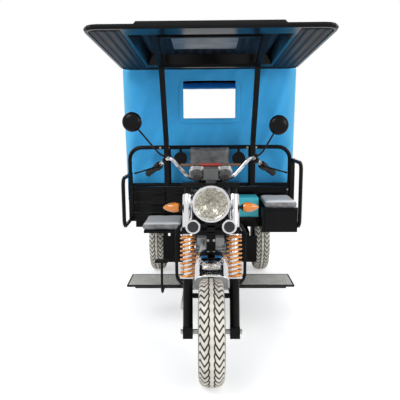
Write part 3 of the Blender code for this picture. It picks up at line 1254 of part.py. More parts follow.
def make_guard_rail():
    """Hoop on the front wall with two uprights, a low bar and two round pads."""
    x = GUARD_HALF - GUARD_TUBE_RADIUS
    y = BOX_FRONT_Y + WALL_THICKNESS / 2
    foot = WALL_TOP_Z + GAP
    top = RAIL_TOP_Z - GUARD_TUBE_RADIUS
    hoop = tube(rounded([(-x, y, foot), (-x, y, top), (x, y, top), (x, y, foot)], GUARD_CORNER, 5),
                GUARD_TUBE_RADIUS, 2, name="hoop")
    low = foot + GUARD_TUBE_RADIUS
    joined = [rod((-x, y, low), (x, y, low), GUARD_TUBE_RADIUS * LOW_BAR_SHARE)]
    for side, _ in SIDES:
        post = side * GUARD_POST_X
        joined.append(rod((post, y, low - GAP), (post, y, top + GAP), GUARD_TUBE_RADIUS * POST_BAR_SHARE))
        pad = side * SPEAKER_X
        joined.append(rod((pad, y - SPEAKER_DEPTH, SPEAKER_Z), (pad, y - SPEAKER_BACK, SPEAKER_Z),
                          SPEAKER_RADIUS, SHAFT_SIDES))
        joined.append(block((pad - SPEAKER_STAY_WIDTH / 2, y - SPEAKER_BACK * 2, SPEAKER_Z),
                            (pad + SPEAKER_STAY_WIDTH / 2, y - SPEAKER_BACK / 2, top)))
    finish("guard_rail", "frame_black", "vehicle", hoop, joined)


def make_guard_loops():
    """Bent rails beside the side seats, fixed to the front wall's edge."""
    loops = (("guard_loop_right", RIGHT_LOOP_X, RIGHT_LOOP_TOP_Z, RIGHT_LOOP_BOTTOM_Z),
             ("guard_loop_left", LEFT_LOOP_X, LEFT_LOOP_TOP_Z, LEFT_LOOP_BOTTOM_Z))
    for name, x, top, bottom in loops:
        wall = BOX_FRONT_Y + WALL_THICKNESS / 2 - GUARD_TUBE_RADIUS - GAP
        points = [(x, wall, top), (x, LOOP_FRONT_Y, top), (x, LOOP_FRONT_Y, bottom), (x, wall, bottom)]
        loop = tube(rounded(points, LOOP_CORNER), LOOP_RADIUS, 1, name="loop")
        side = math.copysign(1.0, x)
        low_x, high_x = sorted((x - side * LOOP_FOOT_REACH, x + side * LOOP_RADIUS))
        upright = block((low_x, wall - LOOP_RADIUS, bottom - LOOP_RADIUS),
                        (high_x, wall, top + LOOP_RADIUS))
        finish(name, "frame_black", "vehicle", loop, [upright])


def make_footboards():
    """Chequered plates on the two cross tubes, one on each side."""
    for side, label in SIDES:
        low_x, high_x = sorted((side * FOOTBOARD_INNER_X, side * FOOTBOARD_OUTER_X))
        low = FOOT_CROSS_Z + FOOT_CROSS_RADIUS + GAP
        board = block((low_x, FOOTBOARD_FRONT_Y, low),
                      (high_x, FOOTBOARD_FRONT_Y + FOOTBOARD_LENGTH, low + FOOTBOARD_THICKNESS))
        finish(f"footboard_{label}", "grey_plate", "vehicle", board)


def make_brake_pedal():
    """Pad on a bent arm that turns on the front cross tube's end."""
    pad_low = (PEDAL_PAD_X - PEDAL_PAD_WIDTH / 2, PEDAL_PAD_Y, PEDAL_PAD_Z)
    pad_high = (PEDAL_PAD_X + PEDAL_PAD_WIDTH / 2, PEDAL_PAD_Y + PEDAL_PAD_LENGTH,
                PEDAL_PAD_Z + PEDAL_PAD_THICKNESS)
    pad = block(pad_low, pad_high)
    hook_z = PEDAL_PAD_Z - PEDAL_HOOK_DROP
    arm_x = PEDAL_PAD_X
    foot_y = FOOT_CROSS_Y_1 - FOOT_CROSS_RADIUS - GAP
    points = [(arm_x, PEDAL_PAD_Y + PEDAL_PAD_LENGTH / 2, PEDAL_PAD_Z + PEDAL_PAD_THICKNESS / 2),
              (arm_x, PEDAL_PAD_Y, hook_z), (arm_x, foot_y - PEDAL_ARM_RADIUS, FOOT_CROSS_Z)]
    arm = tube(rounded(points, PEDAL_BEND), PEDAL_ARM_RADIUS, name="arm")
    collar = block((arm_x - PEDAL_ARM_RADIUS, foot_y - PEDAL_ARM_RADIUS * 2,
                    FOOT_CROSS_Z - PEDAL_ARM_RADIUS),
                   (arm_x + PEDAL_ARM_RADIUS, foot_y, FOOT_CROSS_Z + PEDAL_ARM_RADIUS))
    finish("brake_pedal", "frame_black", "vehicle", pad, [arm, collar])


def roof_frame_matrix():
    """Plane of the roof sheet, its drawing Y to the rear along the slope."""
    slope = math.atan(ROOF_SLOPE)
    return Matrix.Translation((0.0, ROOF_FRONT_Y, ROOF_FRONT_Z)) @ Matrix.Rotation(slope, 4, "X")


def rectangle(half_width, start, end, corner=0.0, steps=CORNER_STEPS):
    points = [(-half_width, start, 0.0), (half_width, start, 0.0), (half_width, end, 0.0),
              (-half_width, end, 0.0)]
    if corner:
        return rounded(points, corner, steps, closed=True)
    return points


def hump_solid(half_width, start, end, rise, drop, matrix):
    """Low box with sloping sides, from below the sheet to the raised top."""
    bm = bmesh.new()
    bmesh.ops.create_cube(bm, size=UNIT)
    for vert in bm.verts:
        top = vert.co.z > 0.0
        inset = HUMP_TAPER if top else 0.0
        vert.co.x = math.copysign(half_width - inset, vert.co.x)
        vert.co.y = start + inset if vert.co.y < 0.0 else end - inset
        vert.co.z = rise if top else -drop
    bmesh.ops.transform(bm, matrix=matrix, verts=bm.verts)
    return new_object("hump", mesh_from(bm, "hump"))


def make_roof():
    """Sheet with a rolled rim and a hollow raised middle."""
    length = math.hypot(ROOF_REAR_Y - ROOF_FRONT_Y, ROOF_REAR_Z - ROOF_FRONT_Z)
    matrix = roof_frame_matrix()
    half = ROOF_WIDTH / 2 - ROOF_RIM_RADIUS
    start, end = ROOF_RIM_RADIUS, length - ROOF_RIM_RADIUS
    outline = rectangle(half, start, end, ROOF_CORNER)
    sheet = plate(outline, ROOF_SHEET, matrix)
    rim_points = [matrix @ Vector(point) for point in outline]
    rim = tube(rim_points, ROOF_RIM_RADIUS, 1, closed=True, name="rim")
    hump = hump_solid(HUMP_HALF_WIDTH, start + HUMP_INSET_Y, end - HUMP_INSET_Y, HUMP_RISE, 0.0, matrix)
    hollow = hump_solid(HUMP_HALF_WIDTH - HUMP_WALL, start + HUMP_INSET_Y + HUMP_WALL,
                        end - HUMP_INSET_Y - HUMP_WALL, HUMP_RISE - HUMP_WALL, ROOF_SHEET, matrix)
    finish("roof", "black_paint", "vehicle", sheet, [rim, hump], [hollow])


def make_roof_frame():
    """Two posts from the guard rail, bent forward under the roof, with ties."""
    y = BOX_FRONT_Y + WALL_THICKNESS / 2 - GUARD_TUBE_RADIUS - GAP - POST_THICKNESS / 2
    slope = math.atan(ROOF_SLOPE)
    under = -POST_THICKNESS / 2 / math.cos(slope) - GAP
    ceiling = HUMP_RISE - HUMP_WALL
    front = Vector((0.0, POST_ARM_FRONT_Y, roof_z(POST_ARM_FRONT_Y) + ceiling + under))
    rear = Vector((0.0, POST_ARM_REAR_Y, roof_z(POST_ARM_REAR_Y) - POST_ARM_REAR_DROP))
    path = [Vector((0.0, y, POST_FOOT_Z)), Vector((0.0, y, POST_BEND_Z)), rear, front]
    solids = []
    for side, _ in SIDES:
        x = Vector((side * POST_X, 0.0, 0.0))
        for first, second in zip(path, path[1:]):
            reach = (second - first).normalized() * POST_JOINT_OVERLAP
            solids.append(bar(first - reach * (first is not path[0]) + x,
                              second + reach * (second is not front) + x,
                              POST_WIDTH, POST_THICKNESS))
    tie_half = POST_X
    for middle in (front.lerp(rear, TIE_FRONT_SHARE), rear):
        solids.append(block((-tie_half, middle.y - ROOF_CROSS_WIDTH / 2, middle.z - POST_THICKNESS / 3),
                            (tie_half, middle.y + ROOF_CROSS_WIDTH / 2, middle.z + POST_THICKNESS / 3)))
    finish("roof_frame", "frame_black", "vehicle", solids[0], solids[1:])


def cover_arch(inset):
    """Arch of the cloth, inset from its outer face: sides, shoulders, crown."""
    top_half = COVER_WIDTH / 2 - inset
    hem_half = COVER_HEM_WIDTH / 2 - inset
    shoulder_z = COVER_TOP_Z - COVER_CROWN - inset
    corners = [(hem_half, COVER_SIDE_HEM_Z, 0.0), (top_half, shoulder_z, 0.0),
               (0.0, COVER_TOP_Z - inset, 0.0),
               (-top_half, shoulder_z, 0.0), (-hem_half, COVER_SIDE_HEM_Z, 0.0)]
    return rounded(corners, COVER_SHOULDER - inset)


def make_cover():
    """Cloth tent over the box: open behind and below, with a front window."""
    length = BOX_REAR_Y - COVER_FRONT_Y
    middle = (BOX_REAR_Y + COVER_FRONT_Y) / 2
    section = cover_arch(0.0) + cover_arch(COVER_CLOTH)[::-1]
    shell = plate(section, length, upright_across(middle))
    hem = WALL_TOP_Z + COVER_FRONT_HEM_RISE
    arch = [point for point in cover_arch(COVER_CLOTH / 2) if point.y > hem]
    hem_share = (hem - COVER_SIDE_HEM_Z) / (COVER_TOP_Z - COVER_CROWN - COVER_SIDE_HEM_Z)
    hem_x = (COVER_HEM_WIDTH + (COVER_WIDTH - COVER_HEM_WIDTH) * hem_share - COVER_CLOTH) / 2
    front_outline = [(hem_x, hem, 0.0)] + arch + [(-hem_x, hem, 0.0)]
    half = WINDOW_WIDTH / 2
    window = [(-half, WINDOW_BOTTOM_Z), (half, WINDOW_BOTTOM_Z), (half, WINDOW_TOP_Z),
              (-half, WINDOW_TOP_Z)]
    front = plate(front_outline, COVER_CLOTH, upright_across(COVER_FRONT_Y + COVER_CLOTH), [window])
    finish("cargo_cover", "blue_cloth", "vehicle", shell, [front])
    roll_half = hem_x - ROLL_END_INSET
    roll_y = BOX_REAR_Y - ROLL_RADIUS
    roll_z = cover_under(roll_half) - ROLL_RADIUS - GAP
    roll = rod((-roll_half, roll_y, roll_z), (roll_half, roll_y, roll_z), ROLL_RADIUS, SHAFT_SIDES)
    finish("cover_roll", "blue_cloth", "vehicle", roll)


def cover_under(x):
    """Height of the cloth's underside at a distance from the middle."""
    return COVER_TOP_Z - COVER_CLOTH - COVER_CROWN * abs(x) / (COVER_WIDTH / 2)


def make_cover_hoops():
    """Three tube hoops on the side walls, tied along their shoulders."""
    x = BOX_HALF - WALL_THICKNESS / 2
    drop = HOOP_RADIUS + GAP
    shoulder = cover_under(x) - drop
    foot = WALL_TOP_Z + GAP
    first_y = COVER_FRONT_Y + COVER_CLOTH * FRONT_SHEET_SHARE + drop
    last_y = BOX_REAR_Y - ROLL_RADIUS * 2 - drop
    hoops = []
    for share in (0.0, 0.5, 1.0):
        y = first_y + (last_y - first_y) * share
        path = [(-x, y, foot), (-x, y, shoulder), (0.0, y, cover_under(0.0) - drop), (x, y, shoulder),
                (x, y, foot)]
        hoops.append(tube(rounded(path, HOOP_CORNER), HOOP_RADIUS, 2, name="hoop"))
    for side, _ in SIDES:
        tie_x = side * (x - HOOP_CORNER)
        tie_z = cover_under(tie_x) - drop
        hoops.append(rod((tie_x, first_y, tie_z), (tie_x, last_y, tie_z), HOOP_RADIUS * TIE_RADIUS_SHARE))
    finish("cover_hoops", "frame_black", "vehicle", hoops[0], hoops[1:])


def make_rear_axle():
    """Axle tube, differential, driven shafts' ends, and the propeller shaft."""
    y, z = WHEELBASE, AXLE_Z
    tube_half = AXLE_TUBE_HALF_LENGTH
    housing = rod((-tube_half, y, z), (tube_half, y, z), AXLE_TUBE_RADIUS, SHAFT_SIDES)
    outer = REAR_WHEEL_X + HUB_HALF_WIDTH + AXLE_NUT_LENGTH + HUB_END_GAP
    nut_in = outer - AXLE_NUT_LENGTH
    flange_y = ENGINE_FRONT_Y + ENGINE_LENGTH + GAP
    front = (0.0, flange_y, PROPSHAFT_FRONT_Z)
    shaft_start = (0.0, flange_y + PROPSHAFT_FLANGE_LENGTH / 2, PROPSHAFT_FRONT_Z)
    flange_end = (0.0, flange_y + PROPSHAFT_FLANGE_LENGTH, PROPSHAFT_FRONT_Z)
    joined = [rod((-outer, y, z), (outer, y, z), SHAFT_RADIUS, SHAFT_SIDES),
              ball((0.0, y, z), DIFFERENTIAL_RADIUS),
              rod(shaft_start, (0.0, y, z), PROPSHAFT_RADIUS),
              rod(front, flange_end, PROPSHAFT_FLANGE_RADIUS)]
    for side, _ in SIDES:
        joined.append(rod((side * nut_in, y, z), (side * outer, y, z), AXLE_NUT_RADIUS, NUT_SIDES))
    finish("rear_axle", "frame_black", "vehicle", housing, joined)
    for side, label in SIDES:
        x = side * RAIL_X
        seat_top = z + AXLE_TUBE_RADIUS + GAP
        sag = LEAF_EYE_Z - seat_top - LEAF_THICKNESS / 2
        steps = LEAF_STEPS
        centre = []
        for step in range(steps + 1):
            share = 2.0 * step / steps - 1.0
            centre.append((y + share * LEAF_HALF_SPAN, seat_top + LEAF_THICKNESS / 2 + sag * share * share))
        half = LEAF_THICKNESS / 2
        outline = [(a, b + half) for a, b in centre] + [(a, b - half) for a, b in reversed(centre)]
        leaf = plate(outline, LEAF_WIDTH, upright_along(x))
        eyes = []
        for share in (RIGHT, LEFT):
            eye_y = y + share * LEAF_HALF_SPAN
            eyes.append(rod((x - LEAF_WIDTH / 2, eye_y, LEAF_EYE_Z),
                            (x + LEAF_WIDTH / 2, eye_y, LEAF_EYE_Z),
                            LEAF_EYE_RADIUS))
        finish(f"leaf_spring_{label}", "frame_black", "vehicle", leaf, eyes)


def make_tail_lamps():
    """Bar below the tailgate with two lamps and a bare plate."""
    back = BOX_REAR_Y - RAIL_REAR_INSET + GAP
    high = RAIL_TOP
    low = high - LAMP_BAR_HEIGHT
    lamp_bar = block((-LAMP_BAR_HALF_LENGTH, back, low), (LAMP_BAR_HALF_LENGTH, back + LAMP_BAR_THICKNESS,
                                                          high))
    joined = []
    for side, _ in SIDES:
        x = side * (LAMP_BAR_HALF_LENGTH - LAMP_WIDTH / 2)
        joined.append(block((x - LAMP_WIDTH / 2, back, low - LAMP_HEIGHT),
                            (x + LAMP_WIDTH / 2, back + LAMP_DEPTH, low + GAP)))
    joined.append(block((-PLATE_WIDTH / 2, back + LAMP_BAR_THICKNESS - PLATE_THICKNESS, low - PLATE_HEIGHT),
                        (PLATE_WIDTH / 2, back + LAMP_BAR_THICKNESS, low + GAP)))
    finish("tail_lamp_bar", "frame_black", "vehicle", lamp_bar, joined)


MATERIALS = {name: make_material(name) for name in PAINTS}
vehicle = make_axis("vehicle", (0.0, FRONT_AXLE_Y, 0.0))
steering = make_axis("steering_axis", (0.0, stem_y(LOWER_YOKE_Z), LOWER_YOKE_Z), vehicle, -RAKE)
make_axis("front_wheel_axis", (0.0, 0.0, AXLE_Z), vehicle)
for side, label in SIDES:
    make_axis(f"rear_{label}_wheel_axis", (side * REAR_WHEEL_X, WHEELBASE, AXLE_Z), vehicle)
make_axis("tailgate_axis", (0.0, HINGE_Y, HINGE_Z), vehicle)

make_wheel("front_wheel", 0.0, 0.0, FRONT_TYRE_WIDTH, LEFT)
for side, label in SIDES:
    make_wheel(f"rear_{label}_wheel", side * REAR_WHEEL_X, WHEELBASE, REAR_TYRE_WIDTH, -side)
make_front_axle()
make_fork()
make_handlebar()
make_controls()
make_mirrors()
make_headlamp()
make_horns()
make_gauges()
make_signals()
make_mudguard()
make_main_frame()
cylinder_foot, cylinder_up = make_engine()
make_exhaust(cylinder_foot, cylinder_up)
make_tank_and_saddle()
make_side_seats()
make_front_wall()
make_box()
make_guard_rail()
make_guard_loops()
make_footboards()
make_brake_pedal()
make_roof()
make_roof_frame()
make_cover()
make_cover_hoops()
make_rear_axle()
make_tail_lamps()
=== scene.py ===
"""Cargo motor tricycle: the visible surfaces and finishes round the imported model.

Lengths along the vehicle are drawn from the front axle rearwards and heights
from the ground, as in the part. Vehicle left is +X and the front is -Y.
"""
import json
import math

import bmesh
import bpy
import numpy as np
from bpy.props import FloatProperty, FloatVectorProperty, IntProperty, PointerProperty
from mathutils import Matrix, Vector


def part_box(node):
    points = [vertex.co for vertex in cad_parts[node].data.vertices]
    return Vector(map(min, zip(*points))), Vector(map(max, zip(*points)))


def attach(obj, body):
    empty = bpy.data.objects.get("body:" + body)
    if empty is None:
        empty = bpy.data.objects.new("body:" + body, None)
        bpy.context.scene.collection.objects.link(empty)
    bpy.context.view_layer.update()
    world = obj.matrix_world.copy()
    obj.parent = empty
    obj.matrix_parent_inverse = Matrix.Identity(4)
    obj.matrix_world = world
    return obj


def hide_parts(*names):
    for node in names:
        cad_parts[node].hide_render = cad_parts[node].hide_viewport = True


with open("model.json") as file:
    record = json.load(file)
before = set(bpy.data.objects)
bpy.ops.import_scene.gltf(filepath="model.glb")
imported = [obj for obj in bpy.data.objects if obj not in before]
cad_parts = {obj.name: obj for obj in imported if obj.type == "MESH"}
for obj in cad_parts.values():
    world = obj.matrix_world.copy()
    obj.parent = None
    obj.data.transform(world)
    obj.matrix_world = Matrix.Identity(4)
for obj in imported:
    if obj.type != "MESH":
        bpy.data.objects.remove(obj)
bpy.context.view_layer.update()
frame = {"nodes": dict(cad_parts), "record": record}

bl_info = {
    "name": "Cargo motor tricycle",
    "version": (1, 0, 0),
    "blender": (4, 5, 0),
    "location": "3D View > Sidebar > Tricycle",
    "description": "Builds the visible pieces of a cargo motor tricycle round its packed model",
    "category": "Add Mesh",
}

def node_box(name):
    """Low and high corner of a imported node."""
    return (np.array(corner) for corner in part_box(name))


# Fork line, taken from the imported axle, and the heights that hang on it
AXLE_LOW, AXLE_HIGH = node_box("front_axle")
AXLE_Y, AXLE_Z = ((AXLE_LOW + AXLE_HIGH) / 2)[1:]
RAKE = math.radians(15.0)
STEM_OFFSET = 0.032
LEG_X = 0.124
UPPER_YOKE_Z = 1.035
LOWER_YOKE_Z = 0.79
SPRING_LOW_Z = 0.5483
SPRING_HIGH_Z = 0.765
COIL_RADIUS = 0.0425
MUDGUARD_RADIUS = 0.4355
WELD = 0.00001
# Angles in degrees past which an edge is shaded sharp
FINE_EDGE, HARD_EDGE, ROUND_EDGE = 30.0, 35.0, 40.0
SIDES = ((1, "left"), (-1, "right"))
ACROSS, REARWARD, UPWARD = (1, 0, 0), (0, 1, 0), (0, 0, 1)
MIRROR_HEADS = {1: (0.366, 0.317), -1: (0.423, 0.338)}


def at(x, y, z):
    """World place of a point drawn behind the front axle."""
    return np.array((x, y + AXLE_Y, z))


def fork_y(z):
    return (z - AXLE_Z) * math.tan(RAKE)


def stem_y(z):
    return fork_y(z) + STEM_OFFSET / math.cos(RAKE)


def on_fork(x, z, back=0.0):
    return at(x, fork_y(z) + back, z)


def on_bar(x, rise, back):
    """Point of the handlebar, above and behind the stem's top."""
    return at(x, stem_y(UPPER_YOKE_Z) + back, UPPER_YOKE_Z + rise)


def bar_place(place, side=1):
    """Named place of the handlebar, on either side."""
    return on_bar(side * place[0], *place[1:])


BAR_CLAMP = (0.05, 0.026, 0.0)
BAR_BEND = (0.222, 0.152, 0.015)
BAR_GRIP = (0.285, 0.1, 0.085)
BAR_END = (0.36, 0.046, 0.16)
FORK_AXIS = (on_fork(0.0, 1.0) - on_fork(0.0, 0.0)) / np.linalg.norm(on_fork(0.0, 1.0) - on_fork(0.0, 0.0))


# Surfaces

def grid_faces(rows, columns, loop_rows=False, loop_columns=False):
    """Quads of a grid of rows by columns, closed on itself where asked."""
    row, column = np.meshgrid(np.arange(rows if loop_rows else rows - 1),
                              np.arange(columns if loop_columns else columns - 1), indexing="ij")
    row, column = row.ravel(), column.ravel()
    next_row, next_column = (row + 1) % rows, (column + 1) % columns
    return np.stack((row * columns + column, next_row * columns + column,
                     next_row * columns + next_column, row * columns + next_column), axis=1)


def unit(vector):
    vector = np.asarray(vector, dtype=float)
    return vector / np.maximum(np.linalg.norm(vector, axis=-1, keepdims=True), 1e-12)


def smooth_line(points, count, window=1):
    """Resample a polyline at equal steps, then average it over a window that keeps its ends."""
    points = np.asarray(points, dtype=float)
    length = np.concatenate(((0.0,), np.cumsum(np.linalg.norm(np.diff(points, axis=0), axis=1))))
    steps = np.linspace(0.0, length[-1], count)
    line = np.stack([np.interp(steps, length, points[:, axis]) for axis in range(points.shape[1])], axis=1)
    if window > 1:
        pad = window
        before = 2 * line[0] - line[pad:0:-1]
        after = 2 * line[-1] - line[-2:-pad - 2:-1]
        kernel = np.ones(window) / window
        padded = np.concatenate((before, line, after))
        for _ in range(2):
            padded = np.stack([np.convolve(padded[:, axis], kernel,
                                           "same") for axis in range(points.shape[1])],
                              axis=1)
        line = padded[pad:-pad]
    return line


def walled(item, thickness, offset=-1.0):
    """Give an open sheet a wall, inwards unless the offset says otherwise."""
    wall = item.modifiers.new("wall", "SOLIDIFY")
    wall.thickness = thickness
    wall.offset = offset


def build(name, points, faces, paint, body, stands_for=(), crease=HARD_EDGE, weld=True, thickness=0.0,
          flip=False):
    """Mesh of the given points and faces, welded, faced outwards, painted and hung on its body."""
    mesh = bpy.data.meshes.new(name)
    mesh.from_pydata(np.asarray(points, dtype=float).reshape(-1, 3).tolist(), [], np.asarray(faces).tolist()
                     if not isinstance(faces, list) else faces)
    if weld:
        bm = bmesh.new()
        bm.from_mesh(mesh)
        bmesh.ops.remove_doubles(bm, verts=bm.verts, dist=WELD)
        bmesh.ops.dissolve_degenerate(bm, edges=bm.edges, dist=WELD / 10)
        bmesh.ops.recalc_face_normals(bm, faces=bm.faces)
        if flip:
            bmesh.ops.reverse_faces(bm, faces=bm.faces)
        bm.to_mesh(mesh)
        bm.free()
    item = bpy.data.objects.new(name, mesh)
    bpy.context.scene.collection.objects.link(item)
    mesh.materials.append(PAINTS[paint])
    mesh.shade_smooth()
    if crease:
        mesh.set_sharp_from_angle(angle=math.radians(crease))
    if thickness:
        walled(item, thickness)
    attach(item, body)
    if stands_for:
        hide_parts(*stands_for)
    return item


def swept_arrays(path, radius, sides=12, upright=(0.0, 0.0, 1.0), closed=False, flat=1.0):
    """Round section along a path: centre + radius (cos a E1 + sin a E2), E1 square to path and upright."""
    path = np.asarray(path, dtype=float)
    if closed:
        way = unit(np.roll(path, -1, axis=0) - np.roll(path, 1, axis=0))
    else:
        way = unit(np.gradient(path, axis=0))
    first = unit(np.cross(way, np.asarray(upright, dtype=float)))
    second = np.cross(way, first)
    angle = np.linspace(0.0, 2 * np.pi, sides, endpoint=False)
    radius = np.broadcast_to(np.asarray(radius, dtype=float), (len(path),))[:, None, None]
    angle = angle[None, :, None]
    ring = np.cos(angle) * first[:, None] + flat * np.sin(angle) * second[:, None]
    points = path[:, None] + radius * ring
    if not closed:
        ends = (np.repeat(path[:1, None], sides, axis=1), np.repeat(path[-1:, None], sides, axis=1))
        points = np.concatenate((ends[0], points, ends[1]))
    return points.reshape(-1, 3), grid_faces(len(points), sides, closed, True)


def turned_arrays(profile, origin, axis, steps=32, close=True):
    """Profile of (radius, height) turned round an axis: origin + height A + radius (cos a E1 + sin a E2)."""
    profile = np.asarray(profile, dtype=float)
    axis = unit(axis)
    helper = np.array((1.0, 0.0, 0.0)) if abs(axis[0]) < 0.9 else np.array((0.0, 0.0, 1.0))
    first = unit(np.cross(axis, helper))
    second = np.cross(axis, first)
    angle = np.linspace(0.0, 2 * np.pi, steps, endpoint=False)
    ring = np.cos(angle)[None, :, None] * first + np.sin(angle)[None, :, None] * second
    points = np.asarray(origin) + profile[:, 1, None, None] * axis + profile[:, 0, None, None] * ring
    closed_profile = close and profile[0, 0] > WELD
    return points.reshape(-1, 3), grid_faces(len(profile), steps, closed_profile, True)


def box_arrays(low, high, turn=None, centre=None):
    """Eight corners and six faces of a box, turned about a centre where asked."""
    low, high = np.asarray(low, dtype=float), np.asarray(high, dtype=float)
    corner = np.array([[x, y, z] for x in (0, 1) for y in (0, 1) for z in (0, 1)])
    points = low + corner * (high - low)
    if turn is not None:
        points = (points - centre) @ np.asarray(turn).T + centre
    faces = np.array(((0, 1, 3, 2), (4, 6, 7, 5), (0, 4, 5, 1), (2, 3, 7, 6), (0, 2, 6, 4), (1, 5, 7, 3)))
    return points, faces


def gather(*arrays):
    """Several point and face arrays as one."""
    points = np.concatenate([item[0] for item in arrays])
    start = 0
    faces = []
    for item in arrays:
        faces += (np.asarray(item[1]) + start).tolist()
        start += len(item[0])
    return points, faces


def bolts(name, places, axis, radius, body, paint="steel", height=0.005, sides=6):
    """Domed bolt heads with washers, one at each place, all pointing one way."""
    profile = ((0.0, -height / 2), (radius * 1.5, -height / 2), (radius * 1.5, 0.0), (radius, 0.0),
               (radius, height * 0.7), (radius * 0.6, height), (0.0, height))
    heads = [turned_arrays(profile, place, axis, sides) for place in places]
    return build(name, *gather(*heads), paint, body, crease=FINE_EDGE)


def attribute(item, name, values):
    """Value at each vertex that a material reads."""
    layer = item.data.attributes.new(name, "FLOAT", "POINT")
    layer.data.foreach_set("value", np.ascontiguousarray(values, dtype=np.float32))


def vertices(item):
    flat = np.empty(len(item.data.vertices) * 3)
    item.data.vertices.foreach_get("co", flat)
    return flat.reshape(-1, 3)


# Finishes

def shader_group(name, inputs, outputs):
    group = bpy.data.node_groups.new(name, "ShaderNodeTree")
    for label, kind, value in inputs:
        socket = group.interface.new_socket(label, in_out="INPUT", socket_type=kind)
        if value is not None:
            socket.default_value = value
    for label, kind in outputs:
        group.interface.new_socket(label, in_out="OUTPUT", socket_type=kind)
    return group, group.nodes.new("NodeGroupInput"), group.nodes.new("NodeGroupOutput")


def node(tree, kind, links=(), **settings):
    """New node with its plain settings and numbered inputs."""
    item = tree.nodes.new(kind)
    for key, value in settings.items():
        if key.startswith("in_"):
            item.inputs[int(key[3:])].default_value = value
        else:
            setattr(item, key, value)
    for socket, source in links:
        tree.links.new(source, item.inputs[socket])
    return item


def uneven_group():
    """Cloudy change of colour and roughness, with fine relief."""
    colour, value, vector = "NodeSocketColor", "NodeSocketFloat", "NodeSocketVector"
    group, source, target = shader_group(
        "uneven finish",
        (("Place", vector, None), ("Colour", colour, None), ("Second colour", colour, None),
         ("Cloud scale", value, 8.0), ("Roughness", value, 0.4), ("Spread", value, 0.1),
         ("Relief scale", value, 300.0), ("Contrast", value, 0.5)),
        (("Colour", colour), ("Roughness", value), ("Height", value), ("Mask", value)))
    links = group.links
    cloud = node(group, "ShaderNodeTexNoise", ((0, source.outputs["Place"]),
                                               ("Scale", source.outputs["Cloud scale"])))
    cloud.inputs["Detail"].default_value = 6.0
    fine = node(group, "ShaderNodeTexNoise", ((0, source.outputs["Place"]),
                                              ("Scale", source.outputs["Relief scale"])))
    fine.inputs["Detail"].default_value = 3.0
    centred = node(group, "ShaderNodeMath", ((0, cloud.outputs[0]),), operation="SUBTRACT", in_1=0.5)
    strong = node(group, "ShaderNodeMath", ((0, centred.outputs[0]), (1, source.outputs["Contrast"])),
                  operation="MULTIPLY")
    wide = node(group, "ShaderNodeMath", ((0, strong.outputs[0]),), operation="MULTIPLY_ADD", in_1=4.0,
                in_2=0.5,
                use_clamp=True)
    mixed = node(group, "ShaderNodeMix", ((0, wide.outputs[0]), (6, source.outputs["Colour"]),
                                          (7, source.outputs["Second colour"])), data_type="RGBA")
    rough = node(group, "ShaderNodeMath", ((0, centred.outputs[0]), (1, source.outputs["Spread"]),
                                           (2, source.outputs["Roughness"])), operation="MULTIPLY_ADD",
                 use_clamp=True)
    links.new(mixed.outputs[2], target.inputs["Colour"])
    links.new(rough.outputs[0], target.inputs["Roughness"])
    links.new(fine.outputs[0], target.inputs["Height"])
    links.new(wide.outputs[0], target.inputs["Mask"])
    return group


def weave_group():
    """Threads that cross at right angles, read from a map in metres."""
    value, vector = "NodeSocketFloat", "NodeSocketVector"
    group, source, target = shader_group(
        "plain weave", (("Place", vector, None), ("Threads a metre", value, 600.0)),
        (("Height", value), ("Shade", value)))
    apart = node(group, "ShaderNodeSeparateXYZ", ((0, source.outputs["Place"]),))
    waves = []
    for axis in (0, 1):
        scaled = node(group, "ShaderNodeMath", ((0, apart.outputs[axis]),
                                                (1, source.outputs["Threads a metre"])),
                      operation="MULTIPLY")
        waves.append(node(group, "ShaderNodeMath", ((0, scaled.outputs[0]),), operation="SINE"))
    crossed = node(group, "ShaderNodeMath", ((0, waves[0].outputs[0]), (1, waves[1].outputs[0])),
                   operation="MULTIPLY")
    shade = node(group, "ShaderNodeMath", ((0, crossed.outputs[0]),), operation="MULTIPLY_ADD", in_1=0.5,
                 in_2=0.5)
    group.links.new(crossed.outputs[0], target.inputs["Height"])
    group.links.new(shade.outputs[0], target.inputs["Shade"])
    return group


def grain_group():
    """Leather-like grain of small cells under long soft creases."""
    value, vector = "NodeSocketFloat", "NodeSocketVector"
    group, source, target = shader_group(
        "vinyl grain", (("Place", vector, None), ("Grain scale", value, 260.0),
                        ("Crease scale", value, 9.0)),
        (("Height", value), ("Crease", value)))
    cells = node(group, "ShaderNodeTexVoronoi", ((0, source.outputs["Place"]),
                                                 ("Scale", source.outputs["Grain scale"])))
    creases = node(group, "ShaderNodeTexNoise", ((0, source.outputs["Place"]),
                                                 ("Scale", source.outputs["Crease scale"])))
    creases.inputs["Detail"].default_value = 4.0
    creases.inputs["Distortion"].default_value = 1.2
    total = node(group, "ShaderNodeMath", ((0, creases.outputs[0]), (2, cells.outputs[0])),
                 operation="MULTIPLY_ADD",
                 in_1=6.0)
    group.links.new(total.outputs[0], target.inputs["Height"])
    group.links.new(creases.outputs[0], target.inputs["Crease"])
    return group


def material(name, **sockets):
    """Material with a plain shader whose constants are set on its own sockets."""
    item = bpy.data.materials.new(name)
    item.use_nodes = True
    shader = item.node_tree.nodes["Principled BSDF"]
    for socket, value in sockets.items():
        shader.inputs[socket.replace("_", " ")].default_value = value
    return item, item.node_tree, shader


